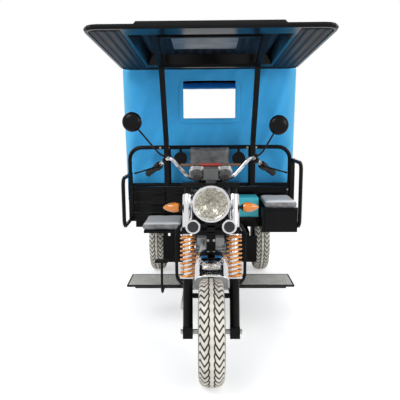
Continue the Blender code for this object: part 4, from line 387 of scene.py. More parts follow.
def uneven(name, colour, second, roughness, spread=0.12, cloud=9.0, relief=350.0, bump=0.08, contrast=0.5,
           **sockets):
    """Finish whose colour and roughness drift over the piece."""
    item, tree, shader = material(name, **sockets)
    place = node(tree, "ShaderNodeTexCoord")
    group = node(tree, "ShaderNodeGroup", node_tree=GROUPS["uneven"])
    tree.links.new(place.outputs["Object"], group.inputs["Place"])
    group.inputs["Colour"].default_value = (*colour, 1.0)
    group.inputs["Second colour"].default_value = (*second, 1.0)
    for label, value in (("Cloud scale", cloud), ("Roughness", roughness), ("Spread", spread),
                         ("Relief scale", relief), ("Contrast", contrast)):
        group.inputs[label].default_value = value
    tree.links.new(group.outputs["Colour"], shader.inputs["Base Color"])
    tree.links.new(group.outputs["Roughness"], shader.inputs["Roughness"])
    height = node(tree, "ShaderNodeBump", (("Height", group.outputs["Height"]),))
    height.inputs["Strength"].default_value = bump
    height.inputs["Distance"].default_value = 0.001
    tree.links.new(height.outputs[0], shader.inputs["Normal"])
    return item, tree, shader, group, height


def mixed_by(tree, shader, base, mask_name, other, low=0.0, high=1.0):
    """Blend another colour over the base where an attribute of the piece is high."""
    reading = node(tree, "ShaderNodeAttribute", attribute_name=mask_name)
    spread = node(tree, "ShaderNodeMapRange", ((0, reading.outputs["Fac"]),), in_1=low, in_2=high)
    mix = node(tree, "ShaderNodeMix", ((0, spread.outputs[0]), (6, base)), data_type="RGBA")
    mix.inputs[7].default_value = (*other, 1.0)
    tree.links.new(mix.outputs[2], shader.inputs["Base Color"])
    return mix.outputs[2]


def make_paints(looks):
    """All finishes of the vehicle, by name."""
    made = {}
    plain = {
        "frame_black": ((0.004, 0.004, 0.0045), (0.009, 0.0085, 0.008), 0.34, {"Specular_IOR_Level": 0.1}),
        "gloss_black": ((0.0025, 0.0025, 0.003), (0.005, 0.005, 0.006), 0.2, {"Specular_IOR_Level": 0.12}),
        "chrome": ((0.78, 0.78, 0.79), (0.62, 0.62, 0.64), 0.09, {"Metallic": 1.0}),
        "steel": ((0.5, 0.5, 0.5), (0.36, 0.35, 0.34), 0.34, {"Metallic": 1.0}),
        "spring_gold": ((0.8, 0.33, 0.05), (0.62, 0.2, 0.03), 0.28, {"Metallic": 0.75, "Coat_Weight": 0.5}),
        "black_rubber": ((0.012, 0.012, 0.012), (0.022, 0.021, 0.02), 0.62, {"Specular_IOR_Level": 0.25}),
        "lining_black": ((0.004, 0.005, 0.008), (0.012, 0.016, 0.026), 0.5, {"Specular_IOR_Level": 0.12}),
        "gauge_grey": ((0.66, 0.66, 0.66), (0.42, 0.42, 0.43), 0.3, {"Metallic": 0.6}),
        "block_grey": ((0.1, 0.1, 0.1), (0.06, 0.06, 0.06), 0.4, {}),
        "brass": ((0.62, 0.5, 0.3), (0.42, 0.33, 0.2), 0.35, {"Metallic": 0.8}),
        "amber_lens": ((0.95, 0.3, 0.008), (0.75, 0.19, 0.004), 0.12,
                       {"Coat_Weight": 1.0, "Transmission_Weight": 0.25}),
        "red_lens": ((0.55, 0.01, 0.008), (0.4, 0.006, 0.005), 0.12, {"Coat_Weight": 1.0}),
        "teal_plastic": ((0.055, 0.56, 0.66), (0.045, 0.47, 0.56), 0.38, {}),
        "cast_alloy": ((0.5, 0.5, 0.51), (0.3, 0.3, 0.3), 0.42, {"Metallic": 0.85}),
        "dark_grille": ((0.02, 0.02, 0.022), (0.04, 0.04, 0.042), 0.45, {"Metallic": 0.3}),
        "bar_brown": ((0.16, 0.085, 0.045), (0.1, 0.05, 0.03), 0.35, {"Coat_Weight": 0.3}),
        "bar_red": ((0.34, 0.045, 0.03), (0.24, 0.03, 0.02), 0.4, {}),
        "webbing": ((0.02, 0.02, 0.021), (0.035, 0.035, 0.036), 0.75, {}),
        "dial": ((0.015, 0.015, 0.017), (0.022, 0.022, 0.024), 0.3, {"Coat_Weight": 0.6}),
        "pale_print": ((0.7, 0.7, 0.68), (0.6, 0.6, 0.58), 0.5, {}),
        "ceiling_silver": ((0.34, 0.33, 0.33), (0.18, 0.175, 0.175), 0.35, {"Metallic": 0.5}),
        "mirror": ((0.88, 0.89, 0.9), (0.84, 0.85, 0.86), 0.03, {"Metallic": 1.0}),
        "grey_plate": ((0.72, 0.71, 0.68), (0.5, 0.49, 0.46), 0.5, {"Metallic": 0.25}),
    }
    bumps = {"chrome": 0.02, "mirror": 0.0, "amber_lens": 0.05, "cast_alloy": 0.35, "grey_plate": 0.3,
             "black_rubber": 0.3, "steel": 0.12, "webbing": 0.6}
    for name, (colour, second, roughness, sockets) in plain.items():
        made[name] = uneven(name, colour, second, roughness, bump=bumps.get(name, 0.06),
                            spread=0.05 if roughness < 0.2 else 0.14, **sockets)[0]
    made["reflector"] = uneven("reflector", (0.97, 0.96, 0.93), (0.5, 0.48, 0.42), 0.25, cloud=85.0,
                               relief=110.0,
                               bump=0.9, contrast=1.0, Metallic=1.0)[0]
    made["bar_chrome"] = uneven("bar_chrome", (0.62, 0.62, 0.63), (0.12, 0.12, 0.13), 0.14, cloud=38.0,
                                bump=0.04,
                                contrast=1.0, Metallic=1.0)[0]
    item, tree, shader, group, _ = uneven("tyre_rubber", (0.8, 0.76, 0.67), (0.62, 0.58, 0.5), 0.8,
                                          cloud=14.0,
                                          bump=0.4, contrast=0.7)
    colour = mixed_by(tree, shader, group.outputs["Colour"], "groove", (0.022, 0.02, 0.018), 0.15, 0.7)
    mixed_by(tree, shader, colour, "wall", (0.03, 0.028, 0.026), 0.2, 0.9)
    made["tyre_rubber"] = item

    item, tree, shader, group, bump = uneven("blue_cloth", tuple(looks.cloth_colour),
                                             tuple(looks.cloth_shade), 0.62,
                                             cloud=3.0, bump=0.25, contrast=0.45, Sheen_Weight=0.25,
                                             Sheen_Roughness=0.5)
    surface_map = node(tree, "ShaderNodeUVMap")
    weave = node(tree, "ShaderNodeGroup", node_tree=GROUPS["weave"])
    tree.links.new(surface_map.outputs[0], weave.inputs["Place"])
    weave.inputs["Threads a metre"].default_value = 2.0 * math.pi * looks.thread_count
    crumple = node(tree, "ShaderNodeTexNoise", in_2=looks.crumple_scale)
    crumple.inputs["Detail"].default_value = 5.0
    place = node(tree, "ShaderNodeTexCoord")
    tree.links.new(place.outputs["Object"], crumple.inputs["Vector"])
    total = node(tree, "ShaderNodeMath", ((0, crumple.outputs[0]), (2, weave.outputs["Height"])),
                 operation="MULTIPLY_ADD", in_1=30.0)
    tree.links.new(total.outputs[0], bump.inputs["Height"])
    # Painted highlight: the cloth turns paler along the cover's front rim, where this attribute is high
    colour = mixed_by(tree, shader, group.outputs["Colour"], "edge_highlight", tuple(looks.cloth_edge_highlight))
    mixed_by(tree, shader, colour, "seam", (0.012, 0.16, 0.38))
    made["blue_cloth"] = item

    for name, colour, second, roughness in (("seat_vinyl", (0.13, 0.13, 0.137), (0.06, 0.06, 0.065), 0.36),
                                            ("seat_film", (0.075, 0.075, 0.08), (0.24, 0.24, 0.245), 0.3)):
        item, tree, shader, group, bump = uneven(name, colour, second, roughness, cloud=26.0, contrast=0.8,
                                                 bump=0.4,
                                                 Coat_Weight=0.3, Coat_Roughness=0.2)
        place = node(tree, "ShaderNodeTexCoord")
        grain = node(tree, "ShaderNodeGroup", node_tree=GROUPS["grain"])
        tree.links.new(place.outputs["Object"], grain.inputs["Place"])
        tree.links.new(grain.outputs["Height"], bump.inputs["Height"])
        # Painted highlight: the film seats' tops are paled towards white, where light falls on the film
        if name == "seat_film":
            mixed_by(tree, shader, group.outputs["Colour"], "top", (0.8, 0.8, 0.81))
        made[name] = item

    item, tree, shader = material("clear_lens", Roughness=0.04, Transmission_Weight=1.0, IOR=1.3)
    cloud = node(tree, "ShaderNodeTexNoise", in_2=60.0)
    ramp = node(tree, "ShaderNodeMix", ((0, cloud.outputs[0]),), data_type="RGBA")
    ramp.inputs[6].default_value = (0.97, 0.96, 0.92, 1.0)
    ramp.inputs[7].default_value = (0.92, 0.91, 0.87, 1.0)
    tree.links.new(ramp.outputs[2], shader.inputs["Base Color"])
    made["clear_lens"] = item
    return made


GROUPS = {}
PAINTS = {}


# What a user would change

class TricycleLooks(bpy.types.PropertyGroup):
    """Sizes and colours of the visible pieces."""
    cloth_colour: FloatVectorProperty(name="Cloth", description="Colour of the cargo cover",
                                      subtype="COLOR",
                                      default=(0.03, 0.47, 0.95))
    cloth_shade: FloatVectorProperty(name="Cloth shade", description="Darker clouds in the cargo cover",
                                     subtype="COLOR", default=(0.02, 0.33, 0.72))
    # Painted highlight: paler cloth along the cover's front rim, standing in for light catching its corners
    cloth_edge_highlight: FloatVectorProperty(name="Cloth edge highlight",
                                     description="Paler cloth along the cover's corners",
                                     subtype="COLOR", default=(0.13, 0.56, 0.86))
    thread_count: FloatProperty(name="Threads", description="Threads in a metre of the cover",
                                default=320.0)
    crumple_scale: FloatProperty(name="Crumple", description="Scale of the cover's small dents",
                                 default=11.0)
    fold_depth: FloatProperty(name="Fold depth", description="Depth of the cover's folds", default=0.02,
                              unit="LENGTH")
    tread_depth: FloatProperty(name="Tread depth", description="Depth of the tyre grooves", default=0.006,
                               unit="LENGTH")
    tread_pitches: IntProperty(name="Tread pitches", description="Zig-zags round a tyre", default=40)
    coil_turns: IntProperty(name="Coil turns", description="Turns of each fork spring", default=10)
    coil_wire: FloatProperty(name="Coil wire", description="Radius of the spring wire", default=0.0052,
                             unit="LENGTH")
    cushion_rise: FloatProperty(name="Cushion rise", description="How far a cushion may swell",
                                default=0.006,
                                unit="LENGTH")
    floor_near: FloatProperty(name="Shadow reach",
                              description="Distance at which the floor starts to turn white",
                              default=1.2, unit="LENGTH")
    floor_far: FloatProperty(name="White reach", description="Distance from which the floor is white",
                             default=3.0, unit="LENGTH")
    floor_colour: FloatVectorProperty(name="Floor", description="Colour of the floor", subtype="COLOR",
                                      default=(0.82, 0.82, 0.82))


class TRICYCLE_OT_finishes(bpy.types.Operator):
    """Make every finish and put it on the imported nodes"""
    bl_idname = "tricycle.finishes"
    bl_label = "Finishes"

    def execute(self, context):
        GROUPS.update(uneven=uneven_group(), weave=weave_group(), grain=grain_group())
        PAINTS.update(make_paints(context.scene.tricycle_looks))
        for part in frame["record"]["subparts"]:
            item = frame["nodes"][part["node"]]
            paint = PAINTS[part["material_slot"]]
            if not item.material_slots:
                item.data.materials.append(paint)
            for slot in item.material_slots:
                slot.link = "OBJECT"
                slot.material = paint
        return {"FINISHED"}


def triangle_wave(value):
    """Wave of straight flanks between -1 and 1."""
    return 2.0 * np.abs(2.0 * (value - np.floor(value + 0.5))) - 1.0


def groove_line(distance, half_width):
    """1 in the middle of a groove, falling to 0 at its edge."""
    return np.clip(1.3 - np.abs(distance) / half_width, 0.0, 1.0)


# Tyre's inner radius, tread lines as shares of its half width, and depth of the tread band
TYRE_INNER = 0.1655
LINE_SHARE, LINE_SWING_SHARE, SHOULDER_SHARE = 0.2, 0.04, 0.9
TREAD_BAND = 0.03
WALL_BAND = 0.016


class TRICYCLE_OT_tyres(bpy.types.Operator):
    """Three tyres with a zig-zag tread and shoulder notches"""
    bl_idname = "tricycle.tyres"
    bl_label = "Tyres"

    def execute(self, context):
        looks = context.scene.tricycle_looks
        for wheel, around, across in (("front_wheel", 640, 97), ("rear_left_wheel", 400, 65),
                                      ("rear_right_wheel", 400, 65)):
            name = f"{wheel}_tyre"
            low, high = node_box(name)
            centre = (low + high) / 2
            outer, half = (high[2] - low[2]) / 2, (high[0] - low[0]) / 2
            depth = outer - TYRE_INNER
            shares = np.array(((0.0, 0.0), (0.004, 0.3), (0.06, 0.7), (0.2, 0.94), (0.5, 1.0), (0.85, 0.92),
                               (1.0, 0.74)))
            flank = np.stack((outer - depth * shares[:, 0], half * shares[:, 1]), axis=1)
            profile = np.concatenate((flank[::-1] * (1, -1), flank[1:]))
            profile = smooth_line(profile, across, 5)
            turn = np.linspace(0.0, 2 * np.pi, around, endpoint=False)[:, None]
            side = profile[None, :, 1] / half
            pitch = turn / (2 * np.pi) * looks.tread_pitches
            line = groove_line(np.abs(side) - LINE_SHARE - LINE_SWING_SHARE * triangle_wave(pitch),
                               0.06) * np.ones_like(pitch)
            slant = 0.4 * triangle_wave(np.abs(side) * 1.7 + 0.1)
            notch = groove_line(triangle_wave(pitch + slant) + 1.0, 0.8)
            notch = notch * (np.abs(side) > LINE_SHARE) * (np.abs(side) < SHOULDER_SHARE)
            groove = np.maximum(line, notch)
            crown = np.clip((profile[None, :, 0] - outer + TREAD_BAND) / 0.01, 0.0, 1.0)
            groove = groove * crown
            radius = profile[None, :, 0] - looks.tread_depth * groove
            lateral = np.broadcast_to(profile[None, :, 1], radius.shape)
            points = np.stack((lateral, radius * np.cos(turn), radius * np.sin(turn)), axis=2) + centre
            wall = np.clip((outer - WALL_BAND - profile[None, :, 0]) / 0.02, 0.0,
                           1.0) * np.ones_like(radius)
            ends = np.stack((points[:, -1], points[:, 0]), axis=1)
            shape, faces = gather((points.reshape(-1, 3), grid_faces(around, across, True)),
                                  (ends.reshape(-1, 3), grid_faces(around, 2, True)))
            item = build(name + "_tread", shape, faces, "tyre_rubber", wheel, (name,), crease=50.0,
                         weld=False)
            attribute(item, "groove", np.concatenate((groove.ravel(), np.ones(around * 2))))
            attribute(item, "wall", np.concatenate((wall.ravel(), np.ones(around * 2))))
            seal(item)
        return {"FINISHED"}


def seal(item):
    """Weld a piece's seams and turn its faces outwards, keeping its attributes."""
    bm = bmesh.new()
    bm.from_mesh(item.data)
    bmesh.ops.remove_doubles(bm, verts=bm.verts, dist=WELD)
    bmesh.ops.recalc_face_normals(bm, faces=bm.faces)
    bm.to_mesh(item.data)
    bm.free()


class TRICYCLE_OT_springs(bpy.types.Operator):
    """Two gold coil springs with end cups, and chrome sleeves inside and above them"""
    bl_idname = "tricycle.springs"
    bl_label = "Fork springs"

    def execute(self, context):
        looks = context.scene.tricycle_looks
        wire = looks.coil_wire
        for side, label in SIDES:
            node_name = f"fork_spring_{label}"
            x = side * LEG_X
            low_z, high_z = SPRING_LOW_Z + wire, SPRING_HIGH_Z - wire * 1.2
            low, high = on_fork(x, low_z), on_fork(x, high_z)
            share = np.linspace(0.0, 1.0, looks.coil_turns * 26)
            lean = np.clip(share * 1.06 - 0.03, 0.0, 1.0)
            angle = 2 * np.pi * looks.coil_turns * share
            across = np.array((1.0, 0.0, 0.0))
            forward = np.cross(FORK_AXIS, across)
            radius = COIL_RADIUS - wire
            path = (low + (high - low) * lean[:, None]
                    + radius * (np.cos(angle)[:, None] * across + np.sin(angle)[:, None] * forward))
            coil = build(f"coil_{label}", *swept_arrays(path, wire, 10, FORK_AXIS), "spring_gold",
                         "steering",
                         (node_name,), crease=0)
            cup = ((0.0192, -0.004), (COIL_RADIUS, -0.004), (COIL_RADIUS, 0.002), (0.036, 0.009),
                   (0.0192, 0.009))
            top = ((0.0192, -0.006), (0.034, -0.006), (0.041, 0.0), (0.041, 0.006), (0.0192, 0.006))
            rings = gather(turned_arrays(cup, on_fork(x, 0.5525), FORK_AXIS, 32),
                           turned_arrays(top, on_fork(x, 0.769), FORK_AXIS, 32))
            build(f"spring_cups_{label}", *rings, "chrome", "steering")
            sleeve = ((0.0188, 0.0), (0.029, 0.0), (0.0295, 0.004), (0.0295, 0.17), (0.027, 0.178),
                      (0.0188, 0.178))
            inner = ((0.0175, 0.0), (0.0215, 0.0), (0.0215, 0.2), (0.0175, 0.2))
            cover = gather(turned_arrays(sleeve, on_fork(x, 0.812), FORK_AXIS, 32),
                           turned_arrays(inner, on_fork(x, 0.561), FORK_AXIS, 32))
            build(f"fork_cover_{label}", *cover, "chrome", "steering")
        return {"FINISHED"}


class TRICYCLE_OT_handlebar(bpy.types.Operator):
    """Bent chrome bar, its two-colour crossbar, grips and levers"""
    bl_idname = "tricycle.handlebar"
    bl_label = "Handlebar"

    def execute(self, context):
        half = [bar_place(BAR_CLAMP), on_bar(0.118, 0.034, 0.0), bar_place(BAR_BEND), bar_place(BAR_GRIP),
                bar_place(BAR_END)]
        mirror = [point * (-1, 1, 1) for point in reversed(half)]
        bar = swept_arrays(smooth_line(mirror + half, 161, 9), 0.0115, 16, (0.0, 1.0, 0.0))
        clamps = []
        for side, _ in SIDES:
            clamp = ((0.0117, -0.015), (0.019, -0.015), (0.02, -0.013), (0.02, 0.013), (0.019, 0.015),
                     (0.0117, 0.015))
            clamps.append(turned_arrays(clamp, bar_place(BAR_CLAMP, side), ACROSS, 24))
        build("bar", *gather(bar, *clamps), "bar_chrome", "steering", ("handlebar",))
        ends = on_bar(-0.165, 0.104, 0.012), on_bar(0.165, 0.104, 0.012)
        line = ends[0] + (ends[1] - ends[0]) * np.linspace(0, 1, 33)[:, None]
        build("crossbar", *swept_arrays(line, 0.0082, 16), "bar_brown", "steering", crease=ROUND_EDGE)
        middle = line[10:23]
        build("crossbar_sleeve", *swept_arrays(middle, 0.0105, 16), "bar_red", "steering",
              crease=ROUND_EDGE)
        for side, label in SIDES:
            start, end = bar_place(BAR_GRIP, side), bar_place(BAR_END, side)
            way = unit(end - start)
            length = np.linalg.norm(end - start)
            steps = np.linspace(0.038, length + 0.008, 90)
            ribs = 0.0158 + 0.0012 * (np.sin(steps * 2 * np.pi / 0.005) > 0.0)
            ribs[:4], ribs[-6:] = 0.0185, 0.0183
            grip_profile = np.concatenate((((0.0117, steps[0]),), np.stack((ribs, steps), axis=1),
                                           ((0.0, length + 0.009),)))
            switch = ((0.0117, 0.0), (0.019, 0.0), (0.0225, 0.003), (0.0225, 0.016), (0.0215, 0.017),
                      (0.0215, 0.019),
                      (0.0225, 0.02), (0.0225, 0.034), (0.0195, 0.038), (0.0117, 0.038))
            perch_root = start + way * 0.02
            tip = on_bar(side * 0.425, 0.056, 0.045)
            perch_tip = perch_root + (0.0, -0.03, 0.0)
            bow = perch_tip + (tip - perch_tip) * 0.4 + (0.0, -0.012, 0.0)
            lever = smooth_line([perch_tip, bow, tip], 31, 7)
            thickness = np.interp(np.linspace(0, 1, 31), (0, 0.2, 0.9, 0.93, 1),
                                  (0.0052, 0.0055, 0.0042, 0.0058, 0.0056))
            perch = swept_arrays(smooth_line([perch_root, perch_tip], 9, 1), 0.0095, 12)
            knob = turned_arrays(((0.0, -0.008), (0.009, -0.008), (0.0095, 0.0), (0.009, 0.008),
                                  (0.0, 0.008)),
                                 perch_tip, UPWARD, 16)
            build(f"grip_cover_{label}", *gather(turned_arrays(grip_profile, start, way, 28, False),
                                                 turned_arrays(switch, start, way, 28), perch),
                  "black_rubber", "steering", (f"grip_{label}",))
            build(f"lever_{label}", *gather(swept_arrays(lever, thickness, 12), knob), "gloss_black",
                  "steering", crease=ROUND_EDGE)
        return {"FINISHED"}


class TRICYCLE_OT_mirrors(bpy.types.Operator):
    """Two round mirrors with domed shells on bowed stems"""
    bl_idname = "tricycle.mirrors"
    bl_label = "Mirrors"

    def execute(self, context):
        for side, label in SIDES:
            bend, start = bar_place(BAR_BEND, side), bar_place(BAR_GRIP, side)
            root = bend + (start - bend) * 0.45
            reach, rise = MIRROR_HEADS[side]
            head = on_bar(side * reach, rise, 0.0)
            foot, bow = root + (0, 0, 0.0165), root + (side * 0.03, 0, 0.03)
            stem = swept_arrays(smooth_line([foot, bow, head + (0, -0.008, 0)], 33, 7), 0.005, 12,
                                (0.0, 1.0, 0.0))
            clamp = turned_arrays(((0.0117, -0.009), (0.018, -0.009), (0.018, 0.009), (0.0117, 0.009)),
                                  root,
                                  start - bend, 24)
            boss = turned_arrays(((0.0, 0.012), (0.0085, 0.012), (0.0095, 0.028), (0.007, 0.034),
                                  (0.0, 0.034)), root,
                                 UPWARD, 16)
            angle = np.linspace(0.0, np.pi / 2, 12)
            dome = np.stack((0.053 * np.sin(angle) ** 0.8, -0.004 - 0.025 * np.cos(angle)), axis=1)
            shell = np.concatenate((dome, ((0.053, -0.001), (0.0505, 0.0), (0.0495, -0.002),
                                           (0.0, -0.002))))
            case = turned_arrays(shell, head, REARWARD, 48)
            build(f"mirror_shell_{label}", *gather(case, stem, clamp, boss), "gloss_black", "steering",
                  (f"mirror_{label}",), crease=ROUND_EDGE)
            glass = turned_arrays(((0.0, -0.0018), (0.049, -0.0018), (0.049, -0.0006), (0.0, -0.0003)),
                                  head,
                                  REARWARD, 48)
            build(f"mirror_glass_{label}", *glass, "mirror", "steering", crease=ROUND_EDGE)
        return {"FINISHED"}


class TRICYCLE_OT_headlamp(bpy.types.Operator):
    """Chrome bowl and reflector, bulb, and a fluted clear lens"""
    bl_idname = "tricycle.headlamp"
    bl_label = "Headlamp"

    def execute(self, context):
        face, z = -0.02, 0.963
        origin = at(0.0, 0.0, z)
        rear = REARWARD
        back = np.linspace(0.0, np.pi / 2, 14)
        outer = np.stack((0.0905 * np.sin(back) ** 0.75, face + 0.022 + 0.105 * np.cos(back)), axis=1)
        rim = np.array(((0.0925, face + 0.022), (0.0955, face + 0.018), (0.0955, face + 0.006),
                        (0.093, face),
                        (0.088, face - 0.0005), (0.083, face + 0.002)))
        dish = np.linspace(1.0, 0.0, 12)
        hollow = np.stack((0.0815 * dish, face + 0.006 + 0.055 * (1.0 - dish ** 2)), axis=1)
        shell = turned_arrays(np.concatenate((outer, rim)), origin, rear, 64, False)
        ears = []
        for side, _ in SIDES:
            bolt = ((0.0, -0.004), (0.012, -0.004), (0.012, 0.004), (0.007, 0.0075), (0.0, 0.0075))
            ears.append(turned_arrays(bolt, at(side * 0.1015, face + 0.076, z), (side, 0, 0), 20))
            ears.append(swept_arrays(smooth_line([at(side * 0.075, face + 0.076, z),
                                                  at(side * 0.1045, face + 0.076, z)],
                                                  5, 1), 0.0115, 16))
            ears.append(box_arrays(at(side * 0.1035 - 0.002, face + 0.064, z - 0.0185),
                                   at(side * 0.1035 + 0.002, fork_y(z) + 0.012, z + 0.0185)))
        build("headlamp_case", *gather(shell, *ears), "chrome", "steering", ("headlamp_bowl",))
        build("headlamp_reflector", *turned_arrays(hollow, origin, rear, 64, False), "reflector",
              "steering",
              crease=0, thickness=0.0008)
        bulb = ((0.0, 0.03), (0.008, 0.03), (0.009, 0.012), (0.006, 0.002), (0.0, 0.0))
        build("headlamp_bulb", *turned_arrays(bulb, at(0.0, face + 0.014, z), rear, 24), "pale_print",
              "steering", crease=ROUND_EDGE)
        steps, rings = 192, 25
        angle = np.linspace(0.0, 2 * np.pi, steps, endpoint=False)[None, :]
        reach = np.linspace(0.0, 1.0, rings)[:, None]
        x, height = 0.0815 * reach * np.cos(angle), 0.0815 * reach * np.sin(angle)
        bulge = 0.0115 * (1.0 - reach ** 2)
        flutes = 0.0011 * np.abs(np.sin(x * np.pi / 0.0105)) * np.clip((1.0 - reach) / 0.12, 0.0, 1.0)
        bands = 0.0009 * np.clip(np.cos(height * 2 * np.pi / 0.034) * 3.0, -1.0, 1.0) * (reach < 0.92)
        front = np.stack((x, face - bulge + 0.0015 + flutes + bands * 0.5, z + height), axis=2)
        inside = np.stack(np.broadcast_arrays(x, face - bulge + 0.0045, z + height), axis=2)
        points = np.concatenate((front, inside[::-1])) + (0.0, AXLE_Y, 0.0)
        lens = build("headlamp_glass", points, grid_faces(rings * 2, steps, False, True), "clear_lens",
                     "steering",
                     ("headlamp_lens",), crease=0)
        return {"FINISHED"}


class TRICYCLE_OT_horns(bpy.types.Operator):
    """Two round horns with ringed grilles on a bracket"""
    bl_idname = "tricycle.horns"
    bl_label = "Horns"

    def execute(self, context):
        z, bar_back = 0.843, 0.045
        bracket = [box_arrays(at(-0.0925, bar_back - 0.006, z - 0.01), at(0.0925, bar_back, z + 0.01)),
                   box_arrays(at(-0.02, bar_back - 0.006, 0.8035), at(0.02, fork_y(LOWER_YOKE_Z), 0.8085)),
                   box_arrays(at(-0.02, bar_back - 0.006, 0.8035), at(0.02, bar_back, z))]
        cups, grilles = [], []
        for side, _ in SIDES:
            origin = at(side * 0.0925, 0.0, z)
            cup = ((0.0, 0.044), (0.02, 0.044), (0.027, 0.032), (0.036, 0.02), (0.0385, 0.01),
                   (0.0385, 0.003),
                   (0.0365, 0.0), (0.0285, 0.0004), (0.0262, 0.004), (0.0, 0.005))
            cups.append(turned_arrays(cup, origin, REARWARD, 48))
            face = ((0.0, 0.0032), (0.026, 0.0032), (0.026, 0.0062), (0.0, 0.0062))
            grilles.append(turned_arrays(face, origin, REARWARD, 40))
            for rise in np.linspace(-0.02, 0.02, 6):
                half = math.sqrt(0.0258 ** 2 - rise ** 2)
                reach = np.array((half, 0.0, 0.0)) * np.linspace(-1, 1, 5)[:, None]
                line = origin + (0.0, 0.0028, rise) + reach
                grilles.append(swept_arrays(line, 0.0021, 8, REARWARD))
        build("horn_cups", *gather(*cups), "chrome", "steering", ("horns",))
        build("horn_bracket", *gather(*bracket), "gloss_black", "steering")
        build("horn_grilles", *gather(*grilles), "dark_grille", "steering", crease=FINE_EDGE)
        return {"FINISHED"}


class TRICYCLE_OT_gauges(bpy.types.Operator):
    """Two round gauges round a grey block, with chrome bezels and plain ticked dials"""
    bl_idname = "tricycle.gauges"
    bl_label = "Gauges"

    def execute(self, context):
        tilt = math.radians(38.0)
        look = np.array((0.0, math.cos(tilt), math.sin(tilt)))
        centre = at(0.0, 0.15, 1.098)
        bowls, bands, rims, dials, ticks = [], [], [], [], []
        block = rounded_block(centre - (0.041, 0.025, 0.032), centre + (0.041, 0.025, 0.032), 0.008)
        foot = box_arrays(at(-0.025, 0.15, 1.0485), at(0.025, stem_y(UPPER_YOKE_Z) - 0.02, 1.075))
        for side, _ in SIDES:
            middle = centre + (side * 0.074, 0.0, 0.0)
            bowl = ((0.0, -0.0295), (0.022, -0.029), (0.034, -0.02), (0.039, -0.004), (0.0, -0.004))
            band = ((0.0, -0.004), (0.0395, -0.004), (0.0405, 0.022), (0.0, 0.022))
            bands.append(turned_arrays(band, middle, look, 40))
            bowls.append(turned_arrays(bowl, middle, look, 40))
            rim = ((0.0365, 0.021), (0.0412, 0.02), (0.0412, 0.027), (0.039, 0.0295), (0.0365, 0.0285))
            rims.append(turned_arrays(rim, middle, look, 48))
            dials.append(turned_arrays(((0.0, 0.0225), (0.037, 0.0225), (0.037, 0.0235), (0.0, 0.0235)),
                                       middle, look, 40))
            across, up = np.array((1.0, 0.0, 0.0)), np.cross(look, (1.0, 0.0, 0.0))
            for angle in np.linspace(-0.8, math.pi + 0.8, 13):
                way = across * math.cos(angle) + up * math.sin(angle)
                line = middle + look * 0.0238 + way * np.linspace(0.026, 0.032, 3)[:, None]
                ticks.append(swept_arrays(line, 0.0006, 4, look))
            way = across * -0.8 + up * 0.6
            needle = middle + look * 0.025 + way * np.linspace(-0.006, 0.025, 4)[:, None]
            ticks.append(swept_arrays(needle, (0.0012, 0.001, 0.0008, 0.0004), 6, look))
        build("gauge_bowls", *gather(foot, *bowls), "dial", "steering", ("gauge_cluster",))
        build("gauge_block", *block, "block_grey", "steering")
        build("gauge_bands", *gather(*bands), "gauge_grey", "steering")
        build("gauge_bezels", *gather(*rims), "chrome", "steering")
        build("gauge_dials", *gather(*dials), "dial", "steering", crease=ROUND_EDGE)
        build("gauge_ticks", *gather(*ticks), "pale_print", "steering", crease=0)
        return {"FINISHED"}


def rounded_block(low, high, radius, steps=5):
    """Box with round edges: corner centre + radius times the unit direction, over a sphere's grid."""
    low, high = np.asarray(low, dtype=float), np.asarray(high, dtype=float)
    turn = np.linspace(0.0, np.pi / 2, steps)
    around = np.concatenate([quarter * np.pi / 2 + turn for quarter in range(4)])
    rise = np.concatenate((turn - np.pi / 2, turn))
    angle, tilt = np.meshgrid(around, rise)
    way = np.stack((np.cos(tilt) * np.cos(angle), np.cos(tilt) * np.sin(angle), np.sin(tilt)), axis=2)
    column = np.repeat(np.arange(4), steps)[None, :]
    row = np.repeat(np.arange(2), steps)[:, None]
    corner = np.stack(np.broadcast_arrays(np.where((column == 0) | (column == 3), 1.0, 0.0),
                                          np.where(column < 2, 1.0, 0.0), row * 1.0), axis=2)
    inner_low, inner_high = low + radius, high - radius
    points = inner_low + corner * (inner_high - inner_low) + way * radius
    poles = np.array(((low + high) / 2 * (1, 1, 0) + (0, 0, low[2]),
                      (low + high) / 2 * (1, 1, 0) + (0, 0, high[2])))
    rows = np.concatenate((np.repeat(poles[:1, None], points.shape[1], axis=1), points,
                           np.repeat(poles[1:, None], points.shape[1], axis=1)))
    return rows.reshape(-1, 3), grid_faces(len(rows), points.shape[1], False, True)


class TRICYCLE_OT_signals(bpy.types.Operator):
    """Two amber drop-shaped signals on black stems"""
    bl_idname = "tricycle.signals"
    bl_label = "Turn signals"

    def execute(self, context):
        for side, label in SIDES:
            z = 0.916
            y = fork_y(z)
            share = np.linspace(0.0, 1.0, 28)
            radius = 0.0268 * np.sin(np.pi * share ** 0.72) ** 0.62
            profile = np.stack((radius, 0.159 + 0.1 * share), axis=1)
            lamp = turned_arrays(profile, at(0.0, y, z), (side, 0, 0), 32)
            ribs = lamp[0].copy()
            ribs[:, 1] = y + AXLE_Y + (ribs[:, 1] - y - AXLE_Y) * 0.86
            build(f"signal_lens_{label}", ribs, lamp[1], "amber_lens", "steering",
                  (f"turn_signal_{label}",),
                  crease=0)
            stem = ((0.0, 0.148), (0.009, 0.148), (0.0085, 0.16), (0.016, 0.166), (0.0215, 0.173),
                    (0.0, 0.174))
            collar = turned_arrays(((0.0265, -0.006), (0.0275, 0.0), (0.0265, 0.006), (0.0187, 0.006),
                                    (0.0187, -0.006)),
                                   on_fork(side * LEG_X, z), FORK_AXIS, 28)
            build(f"signal_stem_{label}", *gather(turned_arrays(stem, at(0.0, y, z), (side, 0, 0), 28),
                                                  collar),
                  "black_rubber", "steering")
        return {"FINISHED"}


